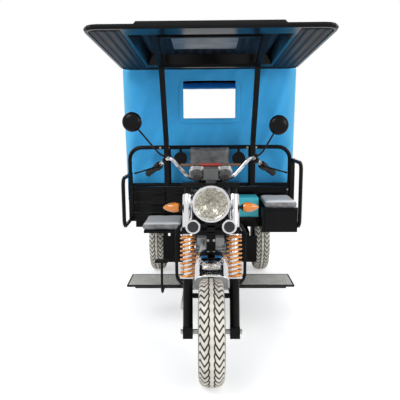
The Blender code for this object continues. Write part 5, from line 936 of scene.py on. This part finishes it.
class TRICYCLE_OT_mudguard(bpy.types.Operator):
    """Chrome front mudguard: a crowned blade with turned edges that narrows behind"""
    bl_idname = "tricycle.mudguard"
    bl_label = "Front mudguard"

    def execute(self, context):
        along = np.linspace(-31.0, 30.0, 73)[:, None]
        across = np.linspace(-1.0, 1.0, 41)[None, :]
        taper = np.clip((along + 2.0) / 10.0, 0.0, 1.0)
        half = (0.081 - 0.026 * taper ** 2 * (3 - 2 * taper)) * np.ones_like(across)
        lip = 0.003 * np.clip((-29.0 - along) / 2.0, 0.0, 1.0)
        drop = 0.026 * (1.0 - taper * 0.5) * np.abs(across) ** 7 + 0.004 * across ** 2
        radius = MUDGUARD_RADIUS - drop + lip
        angle = np.radians(along) * np.ones_like(across)
        x = half * np.sign(across) * np.minimum(np.abs(across) * 1.02, 1.0)
        points = np.stack((x, radius * np.sin(angle) + AXLE_Y, radius * np.cos(angle) + AXLE_Z), axis=2)
        y = fork_y(LOWER_YOKE_Z)
        reach = AXLE_Z + math.sqrt(MUDGUARD_RADIUS ** 2 - y ** 2)
        stay = rounded_block(at(-0.025, y - 0.022, reach - 0.003), at(0.025, y + 0.022, 0.7765), 0.004)
        blade = build("mudguard_blade", points, grid_faces(73, 41), "chrome", "steering",
                      ("front_mudguard",),
                      crease=0)
        face_up(blade)
        walled(blade, 0.003)
        build("mudguard_stay", *stay, "gloss_black", "steering")
        bolts("mudguard_bolts", [at(side * 0.016, y - 0.0225, 0.745) for side, _ in SIDES], (0, -1, 0),
              0.005,
              "steering")
        return {"FINISHED"}


def face_up(item, centre=None):
    """Turn an open sheet's faces away from a centre, or from the wheel where none is given."""
    centre = at(0.0, 0.0, AXLE_Z) if centre is None else np.asarray(centre)
    bm = bmesh.new()
    bm.from_mesh(item.data)
    away = sum(face.normal.dot(face.calc_center_median() - Vector(centre)) for face in bm.faces)
    if away < 0.0:
        bmesh.ops.reverse_faces(bm, faces=bm.faces)
    bm.to_mesh(item.data)
    bm.free()
    item.data.update()


# Lengths of a cushion against its packed block, and the frames of its cloth pass
CUSHION_SLACK = 0.006
CUSHION_VOXEL = 0.007
CUSHION_INSET = 0.0004
CUSHION_OVER = 0.0015
SWELL_STEPS = 20
# Seams at shares of a cushion's half size, each as axis, share, depth and spread
CHANNEL_SHARES = (-0.45, 0.0, 0.45)
WELT_SHARES = (0.78, -0.78)


def cushion(name, node_name, paint, seams, looks, creases=0.0012):
    """Padded block: rounded, swollen by a cloth simulation, then drawn in along its seams."""
    low, high = node_box(node_name)
    shape = rounded_block(low + CUSHION_SLACK, high - CUSHION_SLACK, min(0.02, (high - low).min() * 0.4))
    start = build(name, *shape, paint, "chassis", (node_name,), crease=0)
    remesh = start.modifiers.new("even faces", "REMESH")
    remesh.mode = "VOXEL"
    remesh.voxel_size = CUSHION_VOXEL
    scene = bpy.context.scene
    bpy.context.view_layer.update()
    even = bpy.data.meshes.new_from_object(start.evaluated_get(bpy.context.evaluated_depsgraph_get()))
    start.modifiers.clear()
    start.data = even
    before = vertices(start)
    after = before.copy()
    cloth = start.modifiers.new("swelling", "CLOTH")
    cloth.settings.use_pressure = True
    cloth.settings.uniform_pressure_force = 4.0
    cloth.settings.effector_weights.gravity = 0.0
    cloth.settings.quality = 4
    cloth.collision_settings.use_collision = False
    for step in range(1, SWELL_STEPS + 1):
        scene.frame_set(step)
    moved = start.evaluated_get(bpy.context.evaluated_depsgraph_get())
    flat = np.empty(len(before) * 3)
    moved.data.vertices.foreach_get("co", flat)
    after = flat.reshape(-1, 3)
    start.modifiers.clear()
    scene.frame_set(1)
    shift = after - before
    length = np.linalg.norm(shift, axis=1, keepdims=True)
    shift *= np.minimum(1.0, looks.cushion_rise / np.maximum(length, 1e-9))
    middle, size = (low + high) / 2, (high - low) / 2
    places = before + shift
    for axis, position, depth, spread in seams:
        closeness = np.exp(-((places[:, axis] - (middle[axis] + position * size[axis])) / spread) ** 2)
        inward = unit(places - middle) * depth
        places = places - inward * closeness[:, None]
    x, y, z = places.T
    wander = (np.sin(x * 61 + z * 43) * np.sin(y * 57 - z * 71 + 1.0)
              + np.sin(x * 113 + y * 89 + z * 97) * 0.5)
    places = places - unit(places - middle) * (creases * (wander + 1.5) / 2)[:, None]
    places = np.clip(places, low + CUSHION_INSET, high + CUSHION_OVER)
    places[:, 2] = np.maximum(places[:, 2], low[2] + CUSHION_INSET)
    start.data.vertices.foreach_set("co", places.ravel())
    start.data.update()
    start.data.materials.clear()
    start.data.materials.append(PAINTS[paint])
    start.data.shade_smooth()
    # Mask of the cushion's top, which the film seats use for their painted highlight
    level = np.clip((places[:, 2] - (high[2] - 0.014)) / 0.006, 0.0, 1.0)
    attribute(start, "top", level)
    finer = start.modifiers.new("finer", "SUBSURF")
    finer.levels = finer.render_levels = 1
    return start


class TRICYCLE_OT_seats(bpy.types.Operator):
    """Rider's saddle and backrest, and the two film-covered side seats, whose pale tops are a painted
    highlight standing in for the film's sheen
    """
    bl_idname = "tricycle.seats"
    bl_label = "Seats"

    def execute(self, context):
        looks = context.scene.tricycle_looks
        channels = [(1, share, 0.004, 0.005) for share in CHANNEL_SHARES]
        edge = [(2, 0.1, 0.003, 0.003)]
        cushion("saddle_pad", "saddle", "seat_vinyl", channels + edge, looks)
        welts = [(2, share, 0.003, 0.004) for share in WELT_SHARES]
        cushion("backrest_pad", "backrest", "seat_vinyl", welts, looks, 0.0022)
        for side in ("left", "right"):
            cushion(f"side_pad_{side}", f"side_seat_{side}", "seat_film", [(2, 0.35, 0.0025, 0.0025)],
                    looks)
        return {"FINISHED"}


# Outline of the cover, drawn as in the part
COVER_HALF = 0.65
COVER_TOP_Z = 1.83
CROWN_DROP = 0.012
COVER_FRONT = 1.3115
COVER_BACK = 2.7895
HEM_HALF = 0.637
HEM_Z = 0.79
FRONT_HEM_Z = 0.912
HOOPS = (1.3273, 2.013, 2.6987)
SIDE_SEAM_Z = 0.815
WINDOW_LOW = 1.413
WINDOW_HIGH = 1.69
WINDOW_HALF = 0.1965
CLOTH_THICKNESS = 0.0016
STRAP_X = 0.42


def cover_arch(rows):
    """Arch of the cover's outer face from the left hem over the crown to the right hem."""
    shoulder_z = COVER_TOP_Z - CROWN_DROP
    corners = ((HEM_HALF, HEM_Z), (COVER_HALF, shoulder_z), (0.0, COVER_TOP_Z), (-COVER_HALF, shoulder_z),
               (-HEM_HALF, HEM_Z))
    return smooth_line(np.array(corners), rows, max(3, rows // 34))


class TRICYCLE_OT_cover(bpy.types.Operator):
    """Cloth cover in one curved sheet with a front window, its binding, and the rolled rear flap"""
    bl_idname = "tricycle.cover"
    bl_label = "Cargo cover"

    def execute(self, context):
        looks = context.scene.tricycle_looks
        rows, columns = 181, 91
        arch = cover_arch(rows)
        front, back = COVER_FRONT, COVER_BACK
        arc = np.concatenate(((0.0,), np.cumsum(np.linalg.norm(np.diff(arch, axis=0), axis=1))))
        along = np.linspace(front, back, columns)[None, :]
        x, z = arch[:, 0][:, None], arch[:, 1][:, None]
        gap = np.sin(np.pi * np.clip((along - HOOPS[0]) / (HOOPS[1] - HOOPS[0]), 0.0, 2.0)) ** 2
        gap = gap * (along < HOOPS[2])
        top = (np.abs(x) < 0.53) & (z > 1.5)
        top_share = np.where(top, np.cos(np.pi / 2 * np.clip(np.abs(x) / 0.53, 0.0, 1.0)) ** 0.8, 0.0)
        side_share = np.where(z < 1.72, np.sin(np.pi * np.clip((1.72 - z) / 0.93, 0.0, 1.0)) ** 0.9, 0.0)
        wrinkle = (np.sin(along * 23.0 + z * 9.0) + 0.6 * np.sin(along * 47.0 - z * 21.0 + 1.3)
                   + 0.5 * np.sin(z * 33.0 + along * 5.0))
        sag_top = top_share * gap * (0.022 + 0.003 * wrinkle)
        sag_side = side_share * (gap * 0.008 + 0.0018 * (wrinkle + 1.6) * gap ** 0.3)
        tunnel = np.stack(np.broadcast_arrays(x - np.sign(x) * sag_side, along + AXLE_Y, z - sag_top),
                          axis=2)

        keep = arch[:, 1] > FRONT_HEM_Z
        outline = arch[keep]
        side_x = np.interp(FRONT_HEM_Z, arch[:rows // 2, 1], arch[:rows // 2, 0])
        outline = np.concatenate((((side_x, FRONT_HEM_Z),), outline, ((-side_x, FRONT_HEM_Z),)))
        bottom = np.stack((np.linspace(-side_x, side_x, 61)[1:-1], np.full(59, FRONT_HEM_Z)), axis=1)
        loop = np.concatenate((outline, bottom))
        window_mid = np.array((0.0, (WINDOW_LOW + WINDOW_HIGH) / 2))
        away = loop - window_mid
        reach = np.minimum(WINDOW_HALF / np.maximum(np.abs(away[:, 0]), 1e-6),
                           (WINDOW_HIGH - WINDOW_LOW) / 2 / np.maximum(np.abs(away[:, 1]), 1e-6))
        inner = window_mid + away * reach[:, None]
        share = np.linspace(0.0, 1.0, 41)[:, None, None]
        flat = inner[None] + (loop - inner)[None] * share
        px, pz = flat[..., 0], flat[..., 1]
        rim_fade = np.sin(np.pi * np.clip(share[..., 0], 0.0, 1.0)) ** 0.6
        folds = (0.5 + 0.5 * np.sin(px * 15.0 + 1.8 * np.sin(pz * 4.0) + 0.6)) ** 2 * 0.7
        folds += (0.5 + 0.5 * np.sin(px * 31.0 - pz * 11.0 + 2.0)) ** 3 * 0.45
        folds += (0.5 + 0.5 * np.sin((np.abs(px) - COVER_HALF) * 9.0 + (pz - COVER_TOP_Z) * 19.0)) ** 4 * 0.4
        depth = rim_fade * folds * looks.fold_depth
        panel = np.stack((px, front + AXLE_Y - depth, pz), axis=2)
        count = panel.shape[1]
        points, faces = gather((tunnel.reshape(-1, 3), grid_faces(rows, columns)),
                               (panel.reshape(-1, 3), grid_faces(41, count, False, True)))
        sheet = build("cover_cloth", points, faces, "blue_cloth", "chassis", ("cargo_cover",), crease=0,
                      weld=False)
        metric = np.concatenate((
            np.stack(np.broadcast_arrays(arc[:, None], along), axis=2).reshape(-1, 2),
            np.stack((px, pz), axis=2).reshape(-1, 2)))
        # Painted highlight along the cover's front rim: the front panel's side and top edges, and the first
        # few centimetres of the tunnel
        corner_highlight = np.exp(-((COVER_HALF - np.abs(px)) / 0.05) ** 2) * 0.75
        corner_highlight = np.maximum(corner_highlight, 0.5 * np.exp(-((COVER_TOP_Z - pz) / 0.035) ** 2))
        tunnel_highlight = np.exp(-((along - front) / 0.06) ** 2) * 0.5 + 0.0 * x
        seam_front = np.exp(-((share[..., 0] - 0.06) / 0.02) ** 2) * (np.abs(px) < 0.24) + 0.0 * px
        seam_front = np.maximum(seam_front, np.exp(-((pz - FRONT_HEM_Z - 0.02) / 0.004) ** 2))
        seam_side = np.exp(-((z - SIDE_SEAM_Z) / 0.005) ** 2) + 0.0 * along
        attribute(sheet, "edge_highlight", np.concatenate((tunnel_highlight.ravel(), corner_highlight.ravel())))
        attribute(sheet, "seam", np.concatenate((seam_side.ravel(), seam_front.ravel())) * 0.6)
        layer = sheet.data.uv_layers.new(name="cloth")
        corners = np.empty(len(sheet.data.loops), dtype=np.int32)
        sheet.data.loops.foreach_get("vertex_index", corners)
        layer.data.foreach_set("uv", metric[corners].astype(np.float32).ravel())
        seal(sheet)
        face_up(sheet, at(0.0, 2.0, 1.2))
        walled(sheet, CLOTH_THICKNESS)
        band = np.stack((px[:4], front + AXLE_Y - 0.0022 - depth[:4], pz[:4]), axis=2)
        binding = build("window_binding", band, grid_faces(4, count, False, True), "blue_cloth", "chassis",
                        crease=0,
                        thickness=0.0012)
        face_up(binding, at(0.0, 2.0, 1.5))
        self.roll()
        self.hems(front, back)
        return {"FINISHED"}

    def hems(self, front, back):
        """Rope edges along the side hems: straight rounds along the cover's foot."""
        cords = []
        for side, _ in SIDES:
            line = np.stack((np.full(40, side * 0.6375), np.linspace(front, back, 40) + AXLE_Y,
                             np.full(40, 0.7945)),
                            axis=1)
            cords.append(swept_arrays(line, 0.0042, 10))
        build("hem_rounds", *gather(*cords), "blue_cloth", "chassis", crease=0)

    def roll(self):
        """Flap wound into a roll: radius falls evenly with the angle of a spiral."""
        low, high = node_box("cover_roll")
        centre = (low + high) / 2
        outer = (high[2] - low[2]) / 2 - 0.002
        angle = np.linspace(0.0, 2 * np.pi * 3.2, 150)
        radius = outer - (outer - 0.012) * angle / angle[-1]
        across = np.linspace(low[0], high[0], 61)
        ripple = 1.0 - 0.05 * (np.sin(across * 19.0) ** 2)[None, :] * np.ones_like(angle)[:, None]
        straps = np.exp(-((np.abs(across) - STRAP_X) / 0.03) ** 2)
        ripple = ripple * (1.0 - 0.09 * straps[None, :])
        y = centre[1] + radius[:, None] * np.cos(angle)[:, None] * ripple
        z = centre[2] + radius[:, None] * np.sin(angle)[:, None] * ripple
        points = np.stack((np.broadcast_to(across, y.shape), y, z), axis=2)
        item = build("rear_flap_roll", points, grid_faces(150, 61), "blue_cloth", "chassis",
                     ("cover_roll",),
                     crease=0)
        walled(item, CLOTH_THICKNESS, 0.0)
        bands = []
        for x in (-STRAP_X, STRAP_X):
            band = ((outer * 0.955, -0.012), (outer * 0.99, -0.012), (outer * 0.99, 0.012),
                    (outer * 0.955, 0.012))
            bands.append(turned_arrays(band, (x, centre[1], centre[2]), ACROSS, 40))
        build("roll_straps", *gather(*bands), "webbing", "chassis")


# Roof's sloping sheet and the hollow over it
ROOF_FRONT, ROOF_REAR = 0.105, 1.296
HOLLOW_DEPTH, LINING_GAP = 0.058, 0.0015
ROOF_FRONT_Z, ROOF_REAR_Z = 1.838, 1.7805
ROOF_SLOPE = (ROOF_REAR_Z - ROOF_FRONT_Z) / (ROOF_REAR - ROOF_FRONT)


def roof_z(y):
    """Height of the roof's sheet at a drawn length."""
    return ROOF_FRONT_Z + ROOF_SLOPE * (y - ROOF_FRONT)


def roof_point(x, y, drop):
    """Point of the roof's sloping plane, drop metres below its sheet."""
    return at(x, y, roof_z(y) - drop)


class TRICYCLE_OT_roof(bpy.types.Operator):
    """Ribbed lining under the roof, silver ceiling panel, lamps, edge trim and bolts"""
    bl_idname = "tricycle.roof"
    bl_label = "Roof"

    def execute(self, context):
        x = np.linspace(-0.4, 0.4, 281)[None, :]
        y = np.linspace(0.335, 1.07, 31)[:, None]
        rib = np.clip(np.cos(x * 2 * np.pi / 0.062) * 2.2, -1.0, 1.0)
        # The lining lies just under the hollow's ceiling
        rise = HOLLOW_DEPTH - 0.006 * (rib + 1.0) / 2
        height = roof_z(y) + rise - LINING_GAP
        points = np.stack(np.broadcast_arrays(x, y + AXLE_Y, height), axis=2)
        lining = build("roof_lining", points, grid_faces(31, 281), "lining_black", "chassis",
                       crease=FINE_EDGE,
                       thickness=0.001)
        face_down(lining)
        for side, label in SIDES:
            across = np.linspace(0.462, 0.622, 65)[None, :] * side
            run = np.linspace(0.14, 1.262, 25)[:, None]
            rib = np.clip(np.cos(across * 2 * np.pi / 0.05) * 2.0, -1.0, 1.0)
            drop = 0.0072 + 0.003 * (rib + 1.0) / 2
            level = roof_z(run) - drop
            edge = np.stack(np.broadcast_arrays(across, run + AXLE_Y, level), axis=2)
            strip = build(f"roof_edge_lining_{label}", edge, grid_faces(25, 65), "lining_black", "chassis",
                          crease=FINE_EDGE, thickness=0.0008)
            face_down(strip)
        panel = rounded_block(at(-0.23, 0.48, 0.0), at(0.17, 0.82, 0.012), 0.005)
        places = panel[0]
        places[:, 2] += roof_z(places[:, 1] - AXLE_Y) + 0.036
        build("ceiling_panel", places, panel[1], "ceiling_silver", "chassis")
        for index, lamp_x in enumerate((-0.245, 0.285)):
            place = roof_point(lamp_x, 0.4, -0.044)
            lamp = rounded_block(place - (0.028, 0.02, 0.0), place + (0.028, 0.02, 0.012), 0.004)
            build(f"roof_lamp_{index + 1}", *lamp, "pale_print", "chassis")
        places = [roof_point(x, y, -0.0065) for x in (-0.6, -0.52, 0.52, 0.6) for y in (0.15, 0.7, 1.25)]
        bolts("roof_bolts", places, UPWARD, 0.006, "chassis")
        return {"FINISHED"}


def face_down(item):
    """Turn an open sheet's faces to the ground."""
    normals = np.empty(len(item.data.polygons) * 3)
    item.data.polygons.foreach_get("normal", normals)
    if normals.reshape(-1, 3)[:, 2].sum() > 0.0:
        item.data.flip_normals()


def ribbed_panel(name, low, high, face, ribs, depth, body, paint="gloss_black"):
    """Pressed sheet on a wall, whose level ribs stand out by depth times a clipped cosine of height."""
    low, high = np.asarray(low, dtype=float), np.asarray(high, dtype=float)
    axis = int(np.argmax(np.abs(face)))
    run = 1 - axis
    along = np.linspace(low[run], high[run], 21)[None, :]
    z = np.linspace(low[2], high[2], 121)[:, None]
    wave = np.clip(-np.cos((z - low[2]) / (high[2] - low[2]) * 2 * np.pi * ribs) * 2.0 - 0.6, 0.0, 1.0)
    ends = np.clip(np.minimum(along - low[run], high[run] - along) / 0.02, 0.0, 1.0)
    out = wave * ends * depth
    base = high[axis] if face[axis] > 0 else low[axis]
    points = np.empty((121, 21, 3))
    points[..., axis] = base + face[axis] * (0.0003 + out)
    points[..., run] = along
    points[..., 2] = z
    item = build(name, points, grid_faces(121, 21), paint, body)
    face_up(item, np.where(np.abs(face) > 0, base - np.asarray(face) * 1.0, (low + high) / 2))
    walled(item, 0.0002, 1.0)
    return item


class TRICYCLE_OT_box(bpy.types.Operator):
    """Pressed ribs on the cargo box walls, tailgate latches, tail lamps and bolts"""
    bl_idname = "tricycle.box"
    bl_label = "Cargo box"

    def execute(self, context):
        inset = np.array((0.0, 0.02, 0.012))
        for side, label in SIDES:
            low, high = node_box(f"box_side_{label}")
            ribbed_panel(f"side_ribs_{label}", low + inset, high - inset, (side, 0, 0), 3, 0.005, "chassis")
        low, high = node_box("tailgate")
        gate_low = np.array((low[0] + 0.03, low[1], low[2] + 0.035))
        gate_high = np.array((high[0] - 0.03, at(0.0, 2.79, 0.0)[1], high[2] - 0.014))
        ribbed_panel("gate_ribs", gate_low, gate_high, REARWARD, 3, 0.004, "tailgate")
        for index, (start, end) in enumerate(((-0.605, -0.33), (-0.28, -0.11), (-0.05, 0.13),
                                              (0.36, 0.605))):
            wall_low, wall_high = at(start, 1.19, 0.655), at(end, 1.215, 0.895)
            ribbed_panel(f"front_ribs_{index + 1}", wall_low, wall_high, (0, -1, 0), 3, 0.004, "chassis")
        latches = []
        for side, _ in SIDES:
            latches.append(rounded_block(at(side * 0.585 - 0.012, 2.7895, 0.83),
                                         at(side * 0.585 + 0.012, 2.797, 0.89),
                                         0.002))
            latches.append(swept_arrays(np.array((at(side * 0.585, 2.797, 0.875),
                                                  at(side * 0.585, 2.805, 0.86),
                                                  at(side * 0.585, 2.803, 0.82))), 0.0035, 10, ACROSS))
        build("gate_latches", *gather(*latches), "steel", "tailgate")
        places = [at(x, 1.1875, z) for x in (-0.585, 0.585) for z in (0.67, 0.88)]
        bolts("front_wall_bolts", places, (0, -1, 0), 0.005, "chassis")
        places = [at(x, 1.1875, 1.196) for x in (-0.367, -0.306, 0.282, 0.345)]
        bolts("guard_rail_bolts", places, (0, -1, 0), 0.006, "chassis", "brass")
        lenses = []
        for side, _ in SIDES:
            x = side * 0.425
            lenses.append(rounded_block(at(x - 0.07, 2.7245, 0.474), at(x + 0.07, 2.736, 0.534), 0.005))
        build("tail_lenses", *gather(*lenses), "red_lens", "chassis")
        return {"FINISHED"}


class TRICYCLE_OT_footboards(bpy.types.Operator):
    """Chequered tread bars and rubber edges on the footboards, and ridges on the brake pedal"""
    bl_idname = "tricycle.footboards"
    bl_label = "Footboards"

    def execute(self, context):
        for _, label in SIDES:
            low, high = node_box(f"footboard_{label}")
            pitch = 0.019
            xs = np.arange(low[0] + 0.02, high[0] - 0.018, pitch)
            ys = np.arange(low[1] + 0.02, high[1] - 0.018, pitch)
            gx, gy = np.meshgrid(xs, ys)
            parity = ((np.arange(len(xs))[None, :] + np.arange(len(ys))[:, None]) % 2).ravel()
            centres = np.stack((gx.ravel(), gy.ravel(), np.full(gx.size, high[2])), axis=1)
            bars = []
            for centre, odd in zip(centres, parity):
                way = np.array((1.0, 1.0 if odd else -1.0, 0.0)) * 0.0052
                line = centre + way * np.linspace(-1.0, 1.0, 3)[:, None]
                bars.append(swept_arrays(line, (0.0009, 0.0017, 0.0009), 6))
            build(f"chequer_{label}", *gather(*bars), "grey_plate", "chassis", crease=0)
            middle = (low[2] + high[2]) / 2
            corners = np.array(((low[0], low[1], middle), (high[0], low[1], middle),
                                (high[0], high[1], middle),
                                (low[0], high[1], middle)))
            steps = np.linspace(0, 1, 9)[:, None]
            sides = [start + (end - start) * steps for start,
                     end in zip(corners, np.roll(corners, -1, axis=0))]
            rounds = [swept_arrays(line, 0.0078, 12) for line in sides]
            build(f"footboard_edge_{label}", *gather(*rounds), "black_rubber", "chassis", crease=0)
        pad_x, top = -0.31, 0.512
        ridges = []
        for offset in np.linspace(-0.018, 0.018, 5):
            line = np.array((at(pad_x - 0.036, 0.555 + offset, top), at(pad_x, 0.555 + offset, top),
                             at(pad_x + 0.036, 0.555 + offset, top)))
            ridges.append(swept_arrays(line, 0.0028, 8))
        build("pedal_ridges", *gather(*ridges), "black_rubber", "chassis", crease=0)
        return {"FINISHED"}


class TRICYCLE_OT_machinery(bpy.types.Operator):
    """Engine side covers, tank cap, battery lid, tool box door and wheel nuts"""
    bl_idname = "tricycle.machinery"
    bl_label = "Engine and fittings"

    def execute(self, context):
        covers = []
        for side, _ in SIDES:
            for y, z, radius in ((0.58, 0.415, 0.062), (0.74, 0.42, 0.075)):
                profile = ((0.0, 0.0), (radius, 0.0), (radius, 0.006), (radius * 0.9, 0.012),
                           (radius * 0.35, 0.0125),
                           (radius * 0.3, 0.016), (0.0, 0.0165))
                covers.append(turned_arrays(profile, at(side * 0.1245, y, z), (side, 0, 0), 40))
        build("engine_covers", *gather(*covers), "cast_alloy", "chassis", crease=FINE_EDGE)
        places = [at(0.131, 0.74 + 0.066 * math.cos(a), 0.42 + 0.066 * math.sin(a))
                  for a in np.linspace(0, 2 * np.pi, 6, endpoint=False)]
        bolts("engine_bolts_left", places, ACROSS, 0.004, "chassis")
        cap = ((0.0, -0.004), (0.034, -0.004), (0.034, 0.006), (0.03, 0.011), (0.012, 0.012), (0.0, 0.012))
        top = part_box("fuel_tank")[1][2]
        build("tank_cap", *turned_arrays(cap, (0.0, at(0, 0.53, 0)[1], top), UPWARD, 36), "chrome",
              "chassis",
              crease=FINE_EDGE)
        low, high = node_box("battery_case")
        lid = rounded_block((low[0] - 0.002, low[1] - 0.002, high[2] - 0.03),
                            (high[0] - 0.0015, high[1] + 0.002, high[2] + 0.003),
                            0.004)
        build("battery_lid", *lid, "teal_plastic", "chassis")
        low, high = node_box("tool_box")
        door = rounded_block((low[0] + 0.015, low[1] - 0.004, low[2] + 0.012),
                             (high[0] - 0.015, low[1] + 0.004, high[2] - 0.018),
                             0.0035)
        build("tool_box_door", *door, "gloss_black", "chassis")
        for side, label in SIDES:
            low, high = node_box(f"rear_{label}_wheel_rim")
            centre = (low + high) / 2
            angles = np.linspace(0, 2 * np.pi, 5, endpoint=False)
            places = [centre + (side * 0.009, 0.055 * math.cos(a), 0.055 * math.sin(a)) for a in angles]
            bolts(f"wheel_nuts_{label}", places, (side, 0, 0), 0.008, f"rear_{label}_wheel", height=0.012)
        return {"FINISHED"}


# Camera as fitted to the photograph: lens in millimetres, turns in radians
FLOOR_HALF = 40.0
CAMERA_PLACE = (-0.021, -3.6025, 1.336)
CAMERA_LENS, SENSOR_WIDTH = 42.3, 36.0
CAMERA_SHIFT = (0.0025, 0.026)
CAMERA_HEADING, CAMERA_DIP, CAMERA_ROLL = 0.0172, 0.1725, -0.0066
LIGHTS = (("key light", (-2.6, -4.2, 4.6), 2.4, 95.0), ("fill light", (3.2, -3.4, 2.4), 2.2, 50.0),
          ("top light", (0.3, 0.8, 5.0), 3.0, 70.0), ("back light", (0.0, 4.5, 2.6), 2.5, 60.0))
AIM_Z = 0.8


class TRICYCLE_OT_stage(bpy.types.Operator):
    """Floor, soft lights, white surround and the camera"""
    bl_idname = "tricycle.stage"
    bl_label = "Stage"

    def execute(self, context):
        looks = context.scene.tricycle_looks
        mesh = bpy.data.meshes.new("floor")
        mesh.from_pydata([(x * FLOOR_HALF, y * FLOOR_HALF, 0) for x,
                          y in ((-1, -1), (1, -1), (1, 1), (-1, 1))], [],
                         [(0, 1, 2, 3)])
        floor = bpy.data.objects.new("floor", mesh)
        context.scene.collection.objects.link(floor)
        item = bpy.data.materials.new("pale_floor")
        item.use_nodes = True
        tree = item.node_tree
        tree.nodes.clear()
        matt = node(tree, "ShaderNodeBsdfDiffuse", in_0=(*looks.floor_colour, 1.0))
        glow = node(tree, "ShaderNodeEmission", in_0=(1.0, 1.0, 1.0, 1.0), in_1=0.42)
        both = node(tree, "ShaderNodeAddShader", ((0, matt.outputs[0]), (1, glow.outputs[0])))
        white = node(tree, "ShaderNodeEmission", in_0=(1.0, 1.0, 1.0, 1.0), in_1=1.0)
        place = node(tree, "ShaderNodeTexCoord")
        reach = node(tree, "ShaderNodeVectorMath", ((0, place.outputs["Object"]),), operation="LENGTH")
        far = node(tree, "ShaderNodeMapRange", ((0, reach.outputs["Value"]),), in_1=looks.floor_near,
                   in_2=looks.floor_far)
        ground = node(tree, "ShaderNodeMixShader", ((0, far.outputs[0]), (1, both.outputs[0]),
                                                    (2, white.outputs[0])))
        seen = self.seen(tree)
        mix = node(tree, "ShaderNodeMixShader", ((0, seen), (1, matt.outputs[0]), (2, ground.outputs[0])))
        node(tree, "ShaderNodeOutputMaterial", ((0, mix.outputs[0]),))
        mesh.materials.append(item)

        world = bpy.data.worlds.new("surround")
        context.scene.world = world
        world.use_nodes = True
        tree = world.node_tree
        tree.nodes.clear()
        soft = node(tree, "ShaderNodeBackground", in_0=(0.95, 0.975, 1.0, 1.0), in_1=0.85)
        white = node(tree, "ShaderNodeBackground", in_0=(1.0, 1.0, 1.0, 1.0), in_1=1.0)
        mix = node(tree, "ShaderNodeMixShader", ((0, self.seen(tree)), (1, soft.outputs[0]),
                                                 (2, white.outputs[0])))
        node(tree, "ShaderNodeOutputWorld", ((0, mix.outputs[0]),))

        for name, place, size, power in LIGHTS:
            light = bpy.data.lights.new(name, "AREA")
            light.shape = "DISK"
            light.size = size
            light.energy = power
            holder = bpy.data.objects.new(name, light)
            context.scene.collection.objects.link(holder)
            holder.location = place
            aim = Vector((0.0, 0.0, AIM_Z)) - holder.location
            holder.rotation_euler = aim.to_track_quat("-Z", "Y").to_euler()

        camera = bpy.data.cameras.new("photo camera")
        camera.lens = CAMERA_LENS
        camera.sensor_width = SENSOR_WIDTH
        camera.shift_x, camera.shift_y = CAMERA_SHIFT
        holder = bpy.data.objects.new("photo camera", camera)
        context.scene.collection.objects.link(holder)
        holder.location = CAMERA_PLACE
        turn = Matrix.Rotation(CAMERA_HEADING, 3, "Z") @ Matrix.Rotation(math.pi / 2 - CAMERA_DIP, 3, "X")
        holder.rotation_euler = (turn @ Matrix.Rotation(CAMERA_ROLL, 3, "Z")).to_euler()
        context.scene.camera = holder
        context.scene.view_settings.view_transform = "Standard"
        return {"FINISHED"}

    def seen(self, tree):
        """1 for rays from the camera, off metal, or through glass."""
        path = node(tree, "ShaderNodeLightPath")
        first = node(tree, "ShaderNodeMath", ((0, path.outputs["Is Camera Ray"]),
                                              (1, path.outputs["Is Glossy Ray"])),
                     operation="MAXIMUM")
        both = node(tree, "ShaderNodeMath", ((0, first.outputs[0]),
                                             (1, path.outputs["Is Transmission Ray"])),
                    operation="MAXIMUM")
        return both.outputs[0]


OPERATORS = (TRICYCLE_OT_finishes, TRICYCLE_OT_stage, TRICYCLE_OT_tyres, TRICYCLE_OT_springs,
             TRICYCLE_OT_handlebar,
             TRICYCLE_OT_mirrors, TRICYCLE_OT_headlamp, TRICYCLE_OT_horns, TRICYCLE_OT_gauges,
             TRICYCLE_OT_signals,
             TRICYCLE_OT_mudguard, TRICYCLE_OT_seats, TRICYCLE_OT_cover, TRICYCLE_OT_roof, TRICYCLE_OT_box,
             TRICYCLE_OT_footboards, TRICYCLE_OT_machinery)


class TRICYCLE_PT_panel(bpy.types.Panel):
    """Lists the vehicle's sizes, colours and pieces"""
    bl_idname = "TRICYCLE_PT_panel"
    bl_label = "Cargo motor tricycle"
    bl_space_type = "VIEW_3D"
    bl_region_type = "UI"
    bl_category = "Tricycle"

    def draw(self, context):
        looks = context.scene.tricycle_looks
        for name in TricycleLooks.__annotations__:
            self.layout.prop(looks, name)
        for step in OPERATORS:
            self.layout.operator(step.bl_idname)


def register():
    for item in (TricycleLooks, *OPERATORS, TRICYCLE_PT_panel):
        bpy.utils.register_class(item)
    bpy.types.Scene.tricycle_looks = PointerProperty(type=TricycleLooks)


def unregister():
    del bpy.types.Scene.tricycle_looks
    for item in (TRICYCLE_PT_panel, *reversed(OPERATORS), TricycleLooks):
        bpy.utils.unregister_class(item)


def main():
    register()
    for step in OPERATORS:
        group, name = step.bl_idname.split(".")
        getattr(getattr(bpy.ops, group), name)()


if __name__ == "__main__":
    main()
